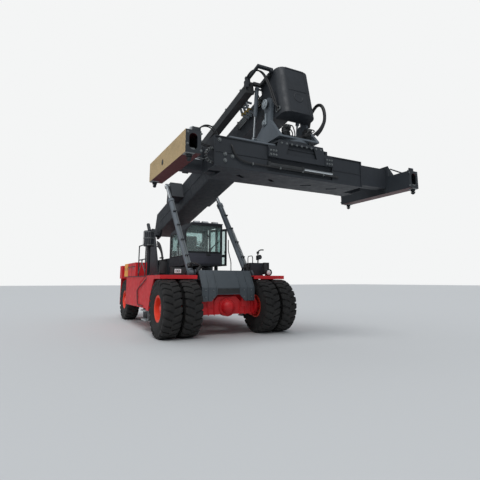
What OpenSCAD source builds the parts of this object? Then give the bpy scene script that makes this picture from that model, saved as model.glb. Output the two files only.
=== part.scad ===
// Reach stacker: a container handler with a telescopic boom, a turning head and a spreader
// Millimetres; the front points to -Y, the left side to +X, and Z is up from the ground

/* [Chassis] */
// Distance between the drive axle and the steer axle
wheelbase = 6300; // [6000:50:6600]
// Distance from the steer axle back to the counterweight's rear face
tail_len = 1550; // [1500:10:1650]
// Half the width over the side tanks
body_half_w = 1960; // [1900:10:2000]
// Height of the deck and the fenders
deck_z = 1760; // [1740:10:1800]
// Front of the side tanks, behind the drive axle
tank_y = 1300; // [1250:10:1400]
// Rear of the side tanks, before the steer axle
tank_gap = 1400; // [1350:10:1500]
// Distance from the middle to each main frame rail
rail_x = 560; // [540:5:600]
// Distance from the middle to each rail between the steered wheels
rear_rail_x = 480; // [460:5:490]
// Thickness of the chassis plates
plate_t = 40; // [30:1:50]

// Middle of the tow pocket above the ground
tow_z = 790; // [770:5:810]
// Diameter of the tow pin's hole
tow_pin_d = 60; // [50:5:65]

/* [Tyres] */
// Outer diameter of every tyre, to the tips of its lugs
tyre_d = 1640; // [1600:10:1660]
// Width of a tyre
tyre_w = 500; // [480:5:520]
// Height of the lugs on a tyre
lug_h = 50; // [35:5:60]
// Lugs on each shoulder of a tyre
lug_count = 12; // [10:1:16]
// Diameter of a rim
rim_d = 700; // [640:10:740]
// Middle of the inner tyre of a drive pair
twin_in_x = 1260; // [1250:5:1280]
// Middle of the outer tyre of a drive pair
twin_out_x = 1860; // [1850:5:1880]
// Middle of a steered tyre
steer_x = 1500; // [1480:5:1520]
// Steering pivot of a rear wheel
kingpin_x = 1060; // [1050:5:1080]

// Diameter of the spindles in the drive rims
spindle_d = 220; // [200:10:240]
// Diameter of the spindles in the steered rims
stub_d = 160; // [150:5:180]

/* [Boom] */
// Boom pivot, in front of the steer axle
pivot_gap = 300; // [250:10:350]
// Boom pivot, above the ground
pivot_z = 3600; // [3580:10:3650]
// Diameter of the boom's pivot pin
pivot_d = 160; // [140:5:170]
// Boom angle as the machine stands in the photograph
boom_rest = 11; // [9:0.5:13]
// Middle of the boom box above the line through its pivot
box_h = 560; // [550:5:570]
// Outer boom section, width
outer_w = 880; // [840:10:900]
// Outer boom section, depth
outer_d = 920; // [880:10:940]
// Outer boom section, from the pivot to its front
outer_len = 6700; // [6650:10:6750]
// Wall of the boom sections
boom_wall = 16; // [12:1:20]
// Inner boom section, width
inner_w = 760; // [740:5:780]
// Inner boom section, depth
inner_d = 790; // [770:5:800]
// How much shallower the inner section is where the hanger swings under it
neck_rise = 200; // [190:5:210]
// Head pin from the pivot, along the boom, as the boom stands
head_s = 9750; // [9700:10:9800]
// Diameter of the head pins
head_pin_d = 150; // [130:5:160]
// How far the boom is drawn out as it stands
drawn_out = 1000; // [900:10:1100]
// Head pin above the line through the pivot
head_h = 300; // [280:5:310]

/* [Lift cylinders] */
// Middle plane of each lift cylinder
lift_x = 980; // [960:5:1000]
// Foot pin, behind the drive axle
foot_y = 384; // [364:2:404]
// Foot pin, above the ground
foot_z = 1830; // [1810:5:1850]
// Rod eye from the pivot, along the boom
eye_s = 3150; // [3120:5:3180]
// Rod eye above the line through the pivot
eye_h = 950; // [930:5:960]
// Barrel diameter
barrel_d = 200; // [190:5:220]
// Rod diameter
lift_rod_d = 130; // [110:5:140]
// Foot pin to the gland
barrel_len = 3460; // [3440:5:3480]
// Rod eye to the piston
lift_rod_len = 3540; // [3520:5:3545]
// Diameter of the pins at the foot and at the rod eye
foot_pin_d = 90; // [80:5:95]
// Clearance between a barrel and the cheeks beside its foot
cheek_clear = 6; // [5:1:10]
// Clearance between a pin and what turns on it
pin_clear = 0.5; // [0.4:0.1:0.8]
// Clearance between a rod and its bore
slide_clear = 6; // [2:1:8]

/* [Cab] */
// Front of the cab, behind the drive axle
cab_y = 1750; // [1700:10:1800]
// Length of the cab
cab_len = 1620; // [1560:10:1700]
// Width of the cab
cab_w = 1440; // [1400:10:1460]
// Underside of the cab
cab_z = 2110; // [2100:10:2140]
// Top of the cab's roof
cab_top = 3620; // [3600:5:3630]
// Thickness of a cab wall
cab_wall = 45; // [40:1:60]
// Lower edge of the windscreen
sill_z = 2590; // [2560:5:2620]
// Width of the cut corner of the roof on the right
cab_corner = 280; // [220:10:320]
// Hinge of the left door, behind the cab's front
hinge_y = 1350; // [1330:5:1370]
// Width of the left door
door_w = 840; // [800:10:860]
// How far the left door stands open
door_open = 34; // [20:1:60]

/* [Spreader] */
// Distance over the end beams, drawn in
spreader_len = 6060; // [6050:1:6070]
// Width over the end beams
spreader_w = 2430; // [2420:1:2440]
// Underside of the end beams above the ground
spreader_z = 3830; // [3800:5:3860]
// Middle of a twistlock from the end of the spreader
lock_end_gap = 103.5; // [100:0.5:106]
// Middle of a twistlock from the side of the spreader
lock_side_gap = 85.5; // [80:0.5:90]
// Depth of the two main boxes
main_d = 650; // [630:5:660]
// Width of each main box
main_w = 340; // [320:5:350]
// Outer face of each main box from the middle
main_y = 510; // [500:5:515]
// Each main box from the middle to its closed end
box_back = 2150; // [2100:10:2200]
// Each main box from the middle to the mouth that its beam comes out of
box_mouth = 1850; // [1800:10:1900]
// Wall of the main boxes
box_wall = 20; // [12:1:25]
// How far the top flange of a main box stands out
box_flange = 20; // [15:1:25]
// Clearance between the flange and the cheek of the turning frame
cheek_run = 5; // [5:1:8]
// Width of the beams that draw out of the boxes
beam_w = 280; // [260:5:290]
// Depth of the beams that draw out of the boxes
beam_d = 510; // [490:5:530]
// Length of a wear pad along a beam
pad_len = 100; // [60:10:140]
// Clearance at the wear pads
pad_clear = 0.5; // [0.4:0.1:1]
// Section of an end beam, along the spreader
end_w = 300; // [280:5:320]
// Section of an end beam, upward
end_d = 430; // [400:5:450]
// Diameter of the slewing ring
ring_d = 1000; // [980:10:1010]
// Diameter of a twistlock's head
lock_head_d = 104; // [98:1:104]
// Diameter of the collar above a twistlock's head
lock_collar_d = 106; // [106:1:110]

/* [Hidden] */

axle_z = tyre_d / 2;
frame_top = 1350;
cowl_y = -290;
axle_top = 1000;
steer_top = 1050;
tank_in_x = 1240;
tail_y = wheelbase + tail_len;
pivot_y = wheelbase - pivot_gap;
hood_y = cab_y + cab_len + 80;
hood_end = pivot_y - 100;
tank_end = wheelbase - tank_gap;
cheek_gap = barrel_d / 2 + cheek_clear;
// The origin is the middle of the machine's length, so the drive axle lies this far to the front
head_y = pivot_y - head_s * cos(boom_rest) + head_h * sin(boom_rest);
head_z = pivot_z + head_s * sin(boom_rest) + head_h * cos(boom_rest);
front_y = head_y - spreader_w / 2;
axle_y = -(tail_y + front_y) / 2;
eye_y = pivot_y - eye_s * cos(boom_rest) + eye_h * sin(boom_rest);
eye_z = pivot_z + eye_s * sin(boom_rest) + eye_h * cos(boom_rest);
lift_len = norm([foot_y - eye_y, eye_z - foot_z]);
lift_tilt = atan2(foot_y - eye_y, eye_z - foot_z);

red_paint = "#b3262b";
dark_paint = "#3a4045";
rim_paint = "#e0452f";
tan_paint = "#c9b083";
amber_paint = "#e09a35";
rubber = "#1d1d1f";
chrome = "#c8cdd0";
steel = "#6d757b";
glass_tint = "#8fb8b0";

// Moves a piece drawn from the drive axle to its place
module from_axle() {
    translate([0, axle_y, 0]) children();
}

// Moves a piece drawn along the boom, forward to -Y from the pivot, to its place
module along_boom() {
    translate([0, axle_y + pivot_y, pivot_z]) rotate([-boom_rest, 0, 0]) children();
}

// The right side first, then its mirror image on the left
module both_sides() {
    children();
    mirror([1, 0, 0]) children();
}

// A box between two corners
module span(from, to) {
    translate(from) cube(to - from);
}

// A cylinder along X between two X values
module bar_x(from, to, d) {
    translate([from, 0, 0]) rotate([0, 90, 0]) cylinder(d = d, h = to - from, $fn = 48);
}

// A plate cut to an outline of [y, z] points, between two X values
module side_plate(from, to, outline) {
    translate([from, 0, 0]) rotate([90, 0, 90]) linear_extrude(to - from) polygon(outline);
}

// A plate cut to an outline of [x, z] points, between two Y values
module front_plate(from, to, outline) {
    translate([0, to, 0]) rotate([90, 0, 0]) linear_extrude(to - from) polygon(outline);
}

// A hollow box along Y, open at both ends
module tube_box(w, d, from_y, to_y, wall) {
    difference() {
        tube_core(w / 2, d / 2, from_y, to_y);
        tube_core(w / 2 - wall, d / 2 - wall, from_y - 10, to_y + 10);
    }
}

// The space of a box along Y, by its half width and half depth
module tube_core(half_w, half_d, from_y, to_y) {
    span([-half_w, from_y, -half_d], [half_w, to_y, half_d]);
}

module chassis_frame() {
    color(red_paint) from_axle() {
        // Rails: over the drive axle, between the axles, over the steer axle [x, y from, y to, z from]
        both_sides() for (rail = [
            [rail_x, cowl_y + 50, 600, axle_top], [rail_x, 600, wheelbase - 1200, 700],
            [rear_rail_x, wheelbase - 1300, wheelbase + 660, steer_top]
        ]) span([-rail[0] - 90, rail[1], rail[3]], [-rail[0] + 90, rail[2], frame_top]);
        both_sides()
            span([-rail_x - 90, wheelbase - 1400, 700], [-rear_rail_x + 90, wheelbase - 1200, frame_top]);
        // Cross members [y from, y to, z from, half width]
        for (cross = [
            [330, 560, axle_top, rail_x], [2000, 2200, 800, rail_x], [3500, 3700, 800, rail_x],
            [wheelbase - 1400, wheelbase - 1200, 800, rail_x],
            [wheelbase - 150, wheelbase + 150, steer_top + 20, rear_rail_x],
            [wheelbase + 480, wheelbase + 660, steer_top, rear_rail_x]
        ]) span([-cross[3], cross[0], cross[2]], [cross[3], cross[1], frame_top - 50]);
        // Arms that carry the side tanks [y]
        both_sides() for (arm_y = [tank_y + 200, tank_end - 700])
            span([-tank_in_x, arm_y, 900], [-rail_x, arm_y + 160, 1200]);
    }
}

module boom_tower() {
    color(dark_paint) from_axle() translate([0, pivot_y, 0]) {
        both_sides() {
            side_plate(-700, -640, [[-1300, frame_top], [900, frame_top], [900, 2300], [350, pivot_z + 250],
                [150, pivot_z + 300], [-150, pivot_z + 250], [-1000, 2000]]);
            side_plate(-640, -510, [[-890, frame_top], [900, frame_top], [900, 1700], [500, 2700],
                [420, 2700],
                [300, 1480], [-890, 1480]]);
            translate([0, 0, pivot_z]) bar_x(-730, -360, pivot_d);
        }
        span([-510, 500, frame_top], [510, 600, 2200]);
    }
}

module counterweight() {
    color(red_paint) from_axle() translate([0, wheelbase, 0]) difference() {
        union() {
            // Low part behind the steered wheels
            translate([0, 0, 560]) linear_extrude(1200)
                polygon([[-1700, 1100], [-1250, tail_len], [1250, tail_len], [1700, 1100]]);
            span([-560, 660, 560], [560, 1120, 1710]);
            // High part over the steered wheels
            translate([0, 0, 1700]) linear_extrude(560)
                polygon([[-1750, 620], [-1750, 1100], [-1250, tail_len], [1250, tail_len], [1750, 1100],
                    [1750, 620]]);
        }
        // Pocket for a tow eye, with the pin's hole through its floor and a seat for the pin in its ceiling
        span([-150, tail_len - 220, tow_z - 70], [150, tail_len + 10, tow_z + 70]);
        translate([0, tail_len - 110, tow_z - 300]) cylinder(d = tow_pin_d, h = 300, $fn = 48);
        translate([0, tail_len - 110, tow_z]) cylinder(d = tow_pin_d + 4, h = 150, $fn = 48);
    }
}

module engine_block() {
    color(steel) from_axle() span([-380, hood_y + 150, frame_top - 50], [380, hood_end - 900, 2250]);
}

module engine_hood() {
    color(dark_paint) from_axle() difference() {
        span([-500, hood_y, frame_top], [500, hood_end, 2480]);
        span([-460, hood_y + 40, frame_top - 50], [460, hood_end - 40, 2440]);
        // Louvres in both sides [y]
        for (louvre_y = [hood_y + 200:180:hood_end - 400])
            span([-600, louvre_y, 1800], [600, louvre_y + 60, 2300]);
    }
}

module drive_axle() {
    color(red_paint) from_axle() translate([0, 0, axle_z]) {
        // Housing with an arch between the rails
        front_plate(-170, 170, [[-900, -210], [900, -210], [900, 150], [700, 170], [440, 170], [300, 305],
            [-300, 305], [-440, 170], [-700, 170], [-900, 150]]);
        // Cover of the final drive, with its dome, and the drive's case behind
        rotate([90, 0, 0]) cylinder(d = 540, h = 210, $fn = 48);
        translate([0, -200, 0]) sphere(d = 410, $fn = 48);
        rotate([-90, 0, 0]) cylinder(d1 = 540, d2 = 330, h = 320, $fn = 48);
        both_sides() {
            bar_x(-990, -900, 560);
            bar_x(-2000, -950, spindle_d);
            // Gussets on the front of the housing
            for (rib_x = [-820, -620, -430]) span([rib_x, -200, -230], [rib_x + 24, -160, 165]);
            // Pads that bolt up to the rails
            span([-rail_x - 90, -200, 0], [-rail_x + 90, 200, axle_top - axle_z]);
        }
    }
}

module steer_axle() {
    color(dark_paint) from_axle() translate([0, wheelbase, axle_z]) {
        difference() {
            // Beam, its corners cut back where the arms of the knuckles swing
            translate([0, 0, -170]) linear_extrude(340) polygon([
                [-kingpin_x + 190, -110], [-kingpin_x + 270, -190], [kingpin_x - 270, -190],
                [kingpin_x - 190, -110], [kingpin_x - 190, 190], [-kingpin_x + 190, 190]
            ]);
            span([-600, -250, -50], [600, 250, 50]);
        }
        both_sides() for (jaw_z = [-210, 150])
            translate([-kingpin_x, 0, jaw_z]) linear_extrude(60) {
                circle(d = 260, $fn = 48);
                translate([0, -130]) square([260, 260]);
            }
        both_sides() translate([-kingpin_x, 0, -230]) cylinder(d = 90, h = 460, $fn = 48);
        span([-200, -150, 165], [200, 150, steer_top + 20 - axle_z]);
    }
    color(steel) from_axle() translate([0, wheelbase, axle_z]) bar_x(-560, 560, 100);
}

module front_cowl() {
    color(dark_paint) from_axle() difference() {
        union() {
            side_plate(-870, 870, [[cowl_y, 1000], [cowl_y + 50, 1000], [cowl_y + 50, 1400], [50, 1870],
                [50, 1910], [0, 1910], [cowl_y, 1400]]);
            // Ribs on the lower face [x]
            for (rib_x = [-855, -640, -390, 390, 640, 855])
                side_plate(rib_x - 15, rib_x + 15, [[cowl_y - 25, 1010], [cowl_y, 1010], [cowl_y, 1400],
                    [-2, 1900], [-17, 1910], [cowl_y - 25, 1405]]);
        }
        // Cut-out with sloped corners that the axle's hump shows in
        front_plate(cowl_y - 60, cowl_y + 60, [[-560, 990], [560, 990], [375, 1190], [-375, 1190]]);
    }
    // Cheeks and pins for the feet of the lift cylinders, on a box and a shelf over the tyres
    color(dark_paint) from_axle() both_sides() {
        span([-lift_x - cheek_gap - 64, foot_y - 190, tyre_d + 15], [-rail_x, foot_y + 190, tyre_d + 75]);
        difference() {
            span([-960, foot_y - 190, 1180], [-rail_x - 90, foot_y + 190, tyre_d + 15]);
            span([-920, foot_y - 200, 1220], [-rail_x - 130, foot_y + 200, tyre_d - 25]);
        }
        for (cheek_x = [-lift_x - cheek_gap - 60, -lift_x + cheek_gap])
            side_plate(cheek_x, cheek_x + 60, [[foot_y - 190, tyre_d + 75], [foot_y + 190, tyre_d + 75],
                [foot_y + 190, foot_z], [foot_y + 80, foot_z + 110], [foot_y - 80, foot_z + 110],
                [foot_y - 190, foot_z]]);
        translate([-lift_x, foot_y, foot_z]) bar_x(-cheek_gap - 10, cheek_gap + 10, foot_pin_d);
    }
}

module fenders() {
    color(red_paint) from_axle() both_sides() {
        difference() {
            union() {
                span([-2080, -150, deck_z - plate_t], [-960, tank_y, deck_z]);
                span([-2080, -150, deck_z - 110], [-960, -120, deck_z]);
            }
            span([-lift_x - cheek_gap - 70, foot_y - 210, deck_z - 200], [-900, foot_y + 480, deck_z + 20]);
        }
        side_plate(-2080, -2040, [[-150, deck_z - plate_t], [-150, deck_z - 110], [500, deck_z - 110], [900, 1100],
            [1000, 700], [tank_y, 700], [tank_y, deck_z - plate_t]]);
    }
}

module side_tanks() {
    color(red_paint) from_axle() {
        both_sides() difference() {
            span([-body_half_w, tank_y, 720], [-tank_in_x, tank_end, deck_z - 20]);
            // Curved gap between the side panels
            side_plate(-body_half_w - 10, -body_half_w + 20, [[tank_y + 560, 1750], [tank_y + 620, 1750],
                [tank_y + 1270, 1570], [tank_y + 1590, 1350], [tank_y + 1710, 940], [tank_y + 1400, 700],
                [tank_y + 1340, 700], [tank_y + 1660, 950], [tank_y + 1545, 1330], [tank_y + 1240, 1540]]);
        }
        // Locker on the right
        span([-body_half_w, tank_end - 1500, deck_z], [-1560, tank_end - 200, 2260]);
    }
}

module deck_plates() {
    color(dark_paint) from_axle() {
        both_sides() span([-1980, tank_y, deck_z - 20], [-720, tank_end + 500, deck_z]);
        span([-720, 560, deck_z - 20], [720, hood_y - 10, deck_z]);
        // Posts that carry the cab on the deck
        both_sides() for (post_y = [cab_y + 150, cab_y + cab_len - 250]) {
            span([-620, post_y, deck_z], [-520, post_y + 100, cab_z]);
            span([-620, post_y, frame_top], [-520, post_y + 100, deck_z - 20]);
        }
        // Valve box on the left fender
        span([1250, 620, deck_z], [1740, 1200, 2200]);
    }
}

module side_steps() {
    color("#b9bec0") from_axle() both_sides() for (step = [[330, 1960], [620, 1985]])
        difference() {
            span([-step[1], 1690, step[0]], [-1650, 2300, step[0] + 50]);
            span([-step[1] + 30, 1730, step[0] - 10], [-1680, 2270, step[0] + 30]);
        }
    color(dark_paint) from_axle() both_sides() for (side_y = [1660, 2300])
        span([-1900, side_y, 330], [-1700, side_y + 30, 720]);
}

module handrails() {
    color(dark_paint) from_axle() {
        for (post_y = [2150, 3100]) translate([-1930, post_y, deck_z]) cylinder(d = 40, h = 1060, $fn = 24);
        for (rail_z = [deck_z + 560, deck_z + 1060])
            translate([-1930, 2150, rail_z]) rotate([-90, 0, 0]) cylinder(d = 38, h = 950, $fn = 24);
    }
}

module exhaust_stack() {
    color(steel) from_axle() {
        // Pipe, muffler and bent tail pipe on the right
        translate([-1250, pivot_y - 1550, deck_z]) {
            cylinder(d = 150, h = 1200, $fn = 48);
            translate([0, 0, 1190]) cylinder(d = 400, h = 620, $fn = 48);
            translate([0, 0, 1800]) cylinder(d = 130, h = 60, $fn = 48);
            translate([0, 0, 1850]) rotate([-40, 0, 0]) cylinder(d = 130, h = 330, $fn = 48);
            translate([0, 0, 1850]) sphere(d = 130, $fn = 48);
        }
        // Air cleaner on the left
        translate([1250, pivot_y - 1700, deck_z]) {
            cylinder(d = 420, h = 900, $fn = 48);
            translate([0, 0, 890]) cylinder(d = 260, h = 120, $fn = 48);
        }
    }
}

module deck_box() {
    color(amber_paint) from_axle() span([-body_half_w, tank_end - 150, deck_z],
        [-1560, tank_end + 450, 2260]);
}

module head_lamps() {
    color("#dfe3e4") from_axle() {
        // Round lamp on the left fender and square lamp on the right one
        translate([1700, 300, deck_z]) {
            cylinder(d = 60, h = 60, $fn = 24);
            translate([0, 0, 110]) rotate([90, 0, 0]) cylinder(d = 200, h = 120, $fn = 48);
        }
        span([-1490, 180, deck_z], [-1430, 260, deck_z + 50]);
        span([-1580, 160, deck_z + 40], [-1340, 280, deck_z + 200]);
        // Lamps on the front of the cab's roof [x]
        for (lamp_x = [-380, -60, 320])
            span([lamp_x, cab_y + 15, cab_top], [lamp_x + 230, cab_y + 95, cab_top + 60]);
    }
}

module mirrors() {
    color("#26292b") from_axle() both_sides() {
        translate([-1800, 560, deck_z]) cylinder(d = 34, h = 320, $fn = 24);
        span([-1900, 520, deck_z + 60], [-1700, 560, deck_z + 440]);
    }
}

// Outline of the cab from the front [x, z], drawn in by a wall; the roof's right corner is cut off
function cab_outline(wall, low, high) = [
    [-cab_w / 2 + wall, low], [cab_w / 2 - wall, low], [cab_w / 2 - wall, high],
    [-cab_w / 2 + wall + max(0, high - cab_top + cab_corner), high],
    [-cab_w / 2 + wall, min(high, cab_top - cab_corner)]
];

module cab_shell() {
    color(dark_paint) from_axle() translate([0, cab_y, 0]) {
        difference() {
            front_plate(0, cab_len, cab_outline(0, cab_z, cab_top));
            front_plate(cab_wall, cab_len - cab_wall, cab_outline(cab_wall, cab_z + 60, cab_top - 60));
            // Windscreen, rear window and right side window
            front_plate(-20, cab_wall + 20, cab_outline(60, sill_z, cab_top - 80));
            front_plate(cab_len - cab_wall - 20, cab_len + 20, cab_outline(120, 2700, cab_top - 150));
            span([-cab_w / 2 - 20, 120, 2450],
                [-cab_w / 2 + cab_wall + 20, cab_len - 150, cab_top - cab_corner - 40]);
            // Fixed pane and doorway on the left
            span([cab_w / 2 - cab_wall - 20, 100, 2450],
                [cab_w / 2 + 20, hinge_y - door_w - 80, cab_top - 120]);
            span([cab_w / 2 - cab_wall - 20, hinge_y - door_w + 20, cab_z + 60],
                [cab_w / 2 + 20, hinge_y - 40, cab_top - 80]);
        }
        // Hinge lugs and pins of the left door [z]
        for (hinge_z = [2400, 3250]) {
            for (lug_z = [hinge_z - 20, hinge_z + 120])
                span([cab_w / 2, hinge_y - 12, lug_z], [cab_w / 2 + 26, hinge_y + 12, lug_z + 20]);
            translate([cab_w / 2 + 14, hinge_y, hinge_z - 20]) cylinder(d = 14, h = 160, $fn = 24);
        }
    }
}

module cab_windows() {
    color(glass_tint) from_axle() translate([0, cab_y, 0]) {
        front_plate(10, 16, cab_outline(60, sill_z, cab_top - 80));
        front_plate(cab_len - 16, cab_len - 10, cab_outline(120, 2700, cab_top - 150));
        span([-cab_w / 2 + 10, 120, 2450], [-cab_w / 2 + 16, cab_len - 150, cab_top - cab_corner - 40]);
        span([cab_w / 2 - 16, 100, 2450], [cab_w / 2 - 10, hinge_y - door_w - 80, cab_top - 120]);
    }
}

module operator_place() {
    color("#26292b") from_axle() translate([0, cab_y, cab_z + 60]) {
        span([-250, 1000, 0], [250, 1400, 300]);
        span([-260, 850, 300], [260, 1400, 430]);
        span([-250, 1300, 430], [250, 1430, 1100]);
        span([-150, 150, 0], [150, 350, 600]);
        translate([0, 330, 600]) rotate([25, 0, 0]) {
            cylinder(d = 50, h = 160, $fn = 24);
            translate([0, 0, 150]) rotate_extrude($fn = 48) translate([180, 0]) circle(d = 32, $fn = 20);
            translate([-180, -15, 140]) cube([360, 30, 20]);
        }
    }
}

// The door is drawn shut, forward from the hinge at its rear edge, and then stood open
module cab_door() {
    color(dark_paint) from_axle() translate([cab_w / 2 + 14, cab_y + hinge_y, 0]) rotate([0, 0, door_open])
        difference() {
            union() {
                difference() {
                    span([-14 + pin_clear, -door_w, cab_z + 40], [26, -35, cab_top - 60]);
                    span([-30, -door_w + 65, cab_z + 110], [50, -100, 2480]);
                    span([-30, -door_w + 65, 2560], [50, -100, cab_top - 130]);
                }
                for (hinge_z = [2400, 3250]) {
                    translate([0, 0, hinge_z + pin_clear])
                        cylinder(d = 26, h = 120 - 2 * pin_clear, $fn = 24);
                    span([-6, -60, hinge_z + 20], [6, 0, hinge_z + 100]);
                }
            }
            for (hinge_z = [2390, 3240])
                translate([0, 0, hinge_z]) cylinder(d = 14 + 2 * pin_clear, h = 140, $fn = 24);
        }
}

// A tyre around X, its middle at the origin: a carcass, and lugs that slant in from both shoulders
module tyre() {
    ground_r = tyre_d / 2 - lug_h;
    rotate([0, 90, 0]) rotate_extrude($fn = 40) polygon([
        [rim_d / 2, -tyre_w / 2 + 60], [ground_r - 130, -tyre_w / 2], [ground_r, -tyre_w / 2 + 30],
        [ground_r, tyre_w / 2 - 30], [ground_r - 130, tyre_w / 2], [rim_d / 2, tyre_w / 2 - 60]
    ]);
    for (side = [-1, 1], lug = [0:lug_count - 1])
        rotate([(lug + (side + 1) / 4) * 360 / lug_count, 0, 0])
            translate([side * (tyre_w / 4 - 8), 0, ground_r - 10])
            rotate([0, 0, side * 28]) translate([-tyre_w / 4 + 5, -62, 0])
                cube([tyre_w / 2 - 10, 124, lug_h + 3]);
}

// A rim around X, its disc toward -X
module rim(disc_x) {
    rotate([0, 90, 0]) rotate_extrude($fn = 48) polygon([
        [rim_d / 2 - 40, -tyre_w / 2 + 50], [rim_d / 2, -tyre_w / 2 + 50], [rim_d / 2, tyre_w / 2 - 50],
        [rim_d / 2 - 40, tyre_w / 2 - 50]
    ]);
    bar_x(disc_x, disc_x + 40, rim_d - 60);
    bar_x(disc_x - 110, disc_x, 300);
}

module drive_tyres() {
    for (tyre_x = [-twin_in_x, -twin_out_x]) translate([tyre_x, 0, axle_z]) tyre();
}

module drive_rims() {
    for (tyre_x = [-twin_in_x, -twin_out_x]) translate([tyre_x, 0, axle_z]) difference() {
        rim(0);
        bar_x(-400, 400, spindle_d + 2 * pin_clear);
    }
    translate([-twin_out_x, 0, axle_z]) difference() {
        bar_x(0, twin_out_x - twin_in_x, 400);
        bar_x(-100, twin_out_x, spindle_d + 2 * pin_clear);
    }
}

module drive_tyres_right() {
    color(rubber) from_axle() drive_tyres();
}

module drive_rims_right() {
    color(rim_paint) from_axle() drive_rims();
}

module drive_tyres_left() {
    color(rubber) from_axle() mirror([1, 0, 0]) drive_tyres();
}

module drive_rims_left() {
    color(rim_paint) from_axle() mirror([1, 0, 0]) drive_rims();
}

// Steering knuckle of the right rear wheel, from the axle's middle
module knuckle() {
    difference() {
        union() {
            span([-kingpin_x - 110, -110, -140], [-kingpin_x + 110, 110, 140]);
            bar_x(-steer_x - 60, -kingpin_x - 60, stub_d);
        }
        translate([-kingpin_x, 0, -300]) cylinder(d = 90 + 2 * pin_clear, h = 600, $fn = 48);
    }
    span([-kingpin_x - 40, -380, -60], [-kingpin_x + 40, -100, 0]);
}

module knuckle_right() {
    color(dark_paint) from_axle() translate([0, wheelbase, axle_z]) knuckle();
}

module knuckle_left() {
    color(dark_paint) from_axle() translate([0, wheelbase, axle_z]) mirror([1, 0, 0]) knuckle();
}

module steer_rim() {
    difference() {
        rim(-60);
        bar_x(-300, 400, stub_d + 2 * pin_clear);
    }
}

module steer_tyre_right() {
    color(rubber) from_axle() translate([-steer_x, wheelbase, axle_z]) tyre();
}

module steer_rim_right() {
    color(rim_paint) from_axle() translate([-steer_x, wheelbase, axle_z]) steer_rim();
}

module steer_tyre_left() {
    color(rubber) from_axle() translate([steer_x, wheelbase, axle_z]) tyre();
}

module steer_rim_left() {
    color(rim_paint) from_axle() translate([steer_x, wheelbase, axle_z]) mirror([1, 0, 0]) steer_rim();
}

module outer_boom() {
    color(dark_paint) along_boom() {
        translate([0, 0, box_h]) difference() {
            tube_box(outer_w, outer_d, -outer_len, 500, boom_wall);
            // Slanted rear end
            side_plate(-outer_w / 2 - 10, outer_w / 2 + 10, [[120, outer_d / 2 + 10],
                [520, outer_d / 2 + 10], [520, -140]]);
        }
        // Collar at the front, with the wear pads that the inner section slides in
        translate([0, 0, box_h]) difference() {
            span([-outer_w / 2 - 50, -outer_len, -outer_d / 2 - 50],
                [outer_w / 2 + 50, -outer_len + 150, outer_d / 2 + 50]);
            tube_core(inner_w / 2 + pad_clear, inner_d / 2 + pad_clear, -outer_len - 10, -outer_len + 160);
        }
        // Pivot lugs under the box
        both_sides() difference() {
            side_plate(-450, -380, [[-600, box_h - 300], [-180, -140], [180, -140], [500, box_h - 300]]);
            bar_x(-600, -300, pivot_d + 2 * pin_clear);
            translate([0, 0, box_h]) tube_core(outer_w / 2 - boom_wall, outer_d / 2 - boom_wall, -700, 600);
        }
        // Brackets that the rod eyes of the lift cylinders stand against
        both_sides() {
            side_plate(-lift_x + 80, -outer_w / 2 + 1, [[-eye_s - 300, eye_h - 500],
                [-eye_s - 140, eye_h + 130],
                [-eye_s + 140, eye_h + 130], [-eye_s + 400, eye_h - 500]]);
        }
    }
}

module hose_carrier() {
    color("#202325") along_boom() {
        span([-940, -head_s + 320, box_h + 240], [-730, -4700, box_h + 460]);
        span([-960, -head_s + 260, box_h + 200], [-730, -head_s + 320, box_h + 540]);
        span([-730, -head_s + 220, box_h + 460], [-470, -head_s + 300, box_h + 540]);
        span([-550, -head_s - 200, box_h + 460], [-470, -head_s + 220, box_h + 540]);
    }
}

neck_h = -inner_d / 2 + neck_rise;

// Side of the inner section, its underside relieved behind the head; drawn [y, z], drawn in by a wall
function inner_outline(wall) = [
    [350 - drawn_out + (wall > 0 ? 10 : 0), -inner_d / 2 + wall],
    [350 - drawn_out + (wall > 0 ? 10 : 0), inner_d / 2 - wall],
    [-head_s - 200 - (wall > 0 ? 10 : 0), inner_d / 2 - wall],
    [-head_s - 200 - (wall > 0 ? 10 : 0), neck_h + wall],
    [-head_s + 1750, neck_h + wall],
    [-head_s + 2050, -inner_d / 2 + wall]
];

module inner_boom() {
    color(dark_paint) along_boom() translate([0, 0, box_h]) difference() {
        union() {
            side_plate(-inner_w / 2, inner_w / 2, inner_outline(0));
            // Wear pads round the rear end
            tube_core(outer_w / 2 - boom_wall - pad_clear, outer_d / 2 - boom_wall - pad_clear,
                350 - drawn_out - pad_len, 350 - drawn_out);
        }
        side_plate(-inner_w / 2 + boom_wall, inner_w / 2 - boom_wall, inner_outline(boom_wall));
    }
}

// Plan of the head with its round nose, drawn in by a wall; 200 is the nose's radius
module nose_plan(wall) {
    for (side = [-1, 1]) translate([side * 270, -head_s - 300]) circle(r = 200 - wall, $fn = 48);
    translate([-270, -head_s - 500 + wall]) square([540, 900]);
    translate([-470 + wall, -head_s - 300]) square([940 - 2 * wall, 800]);
}

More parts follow.
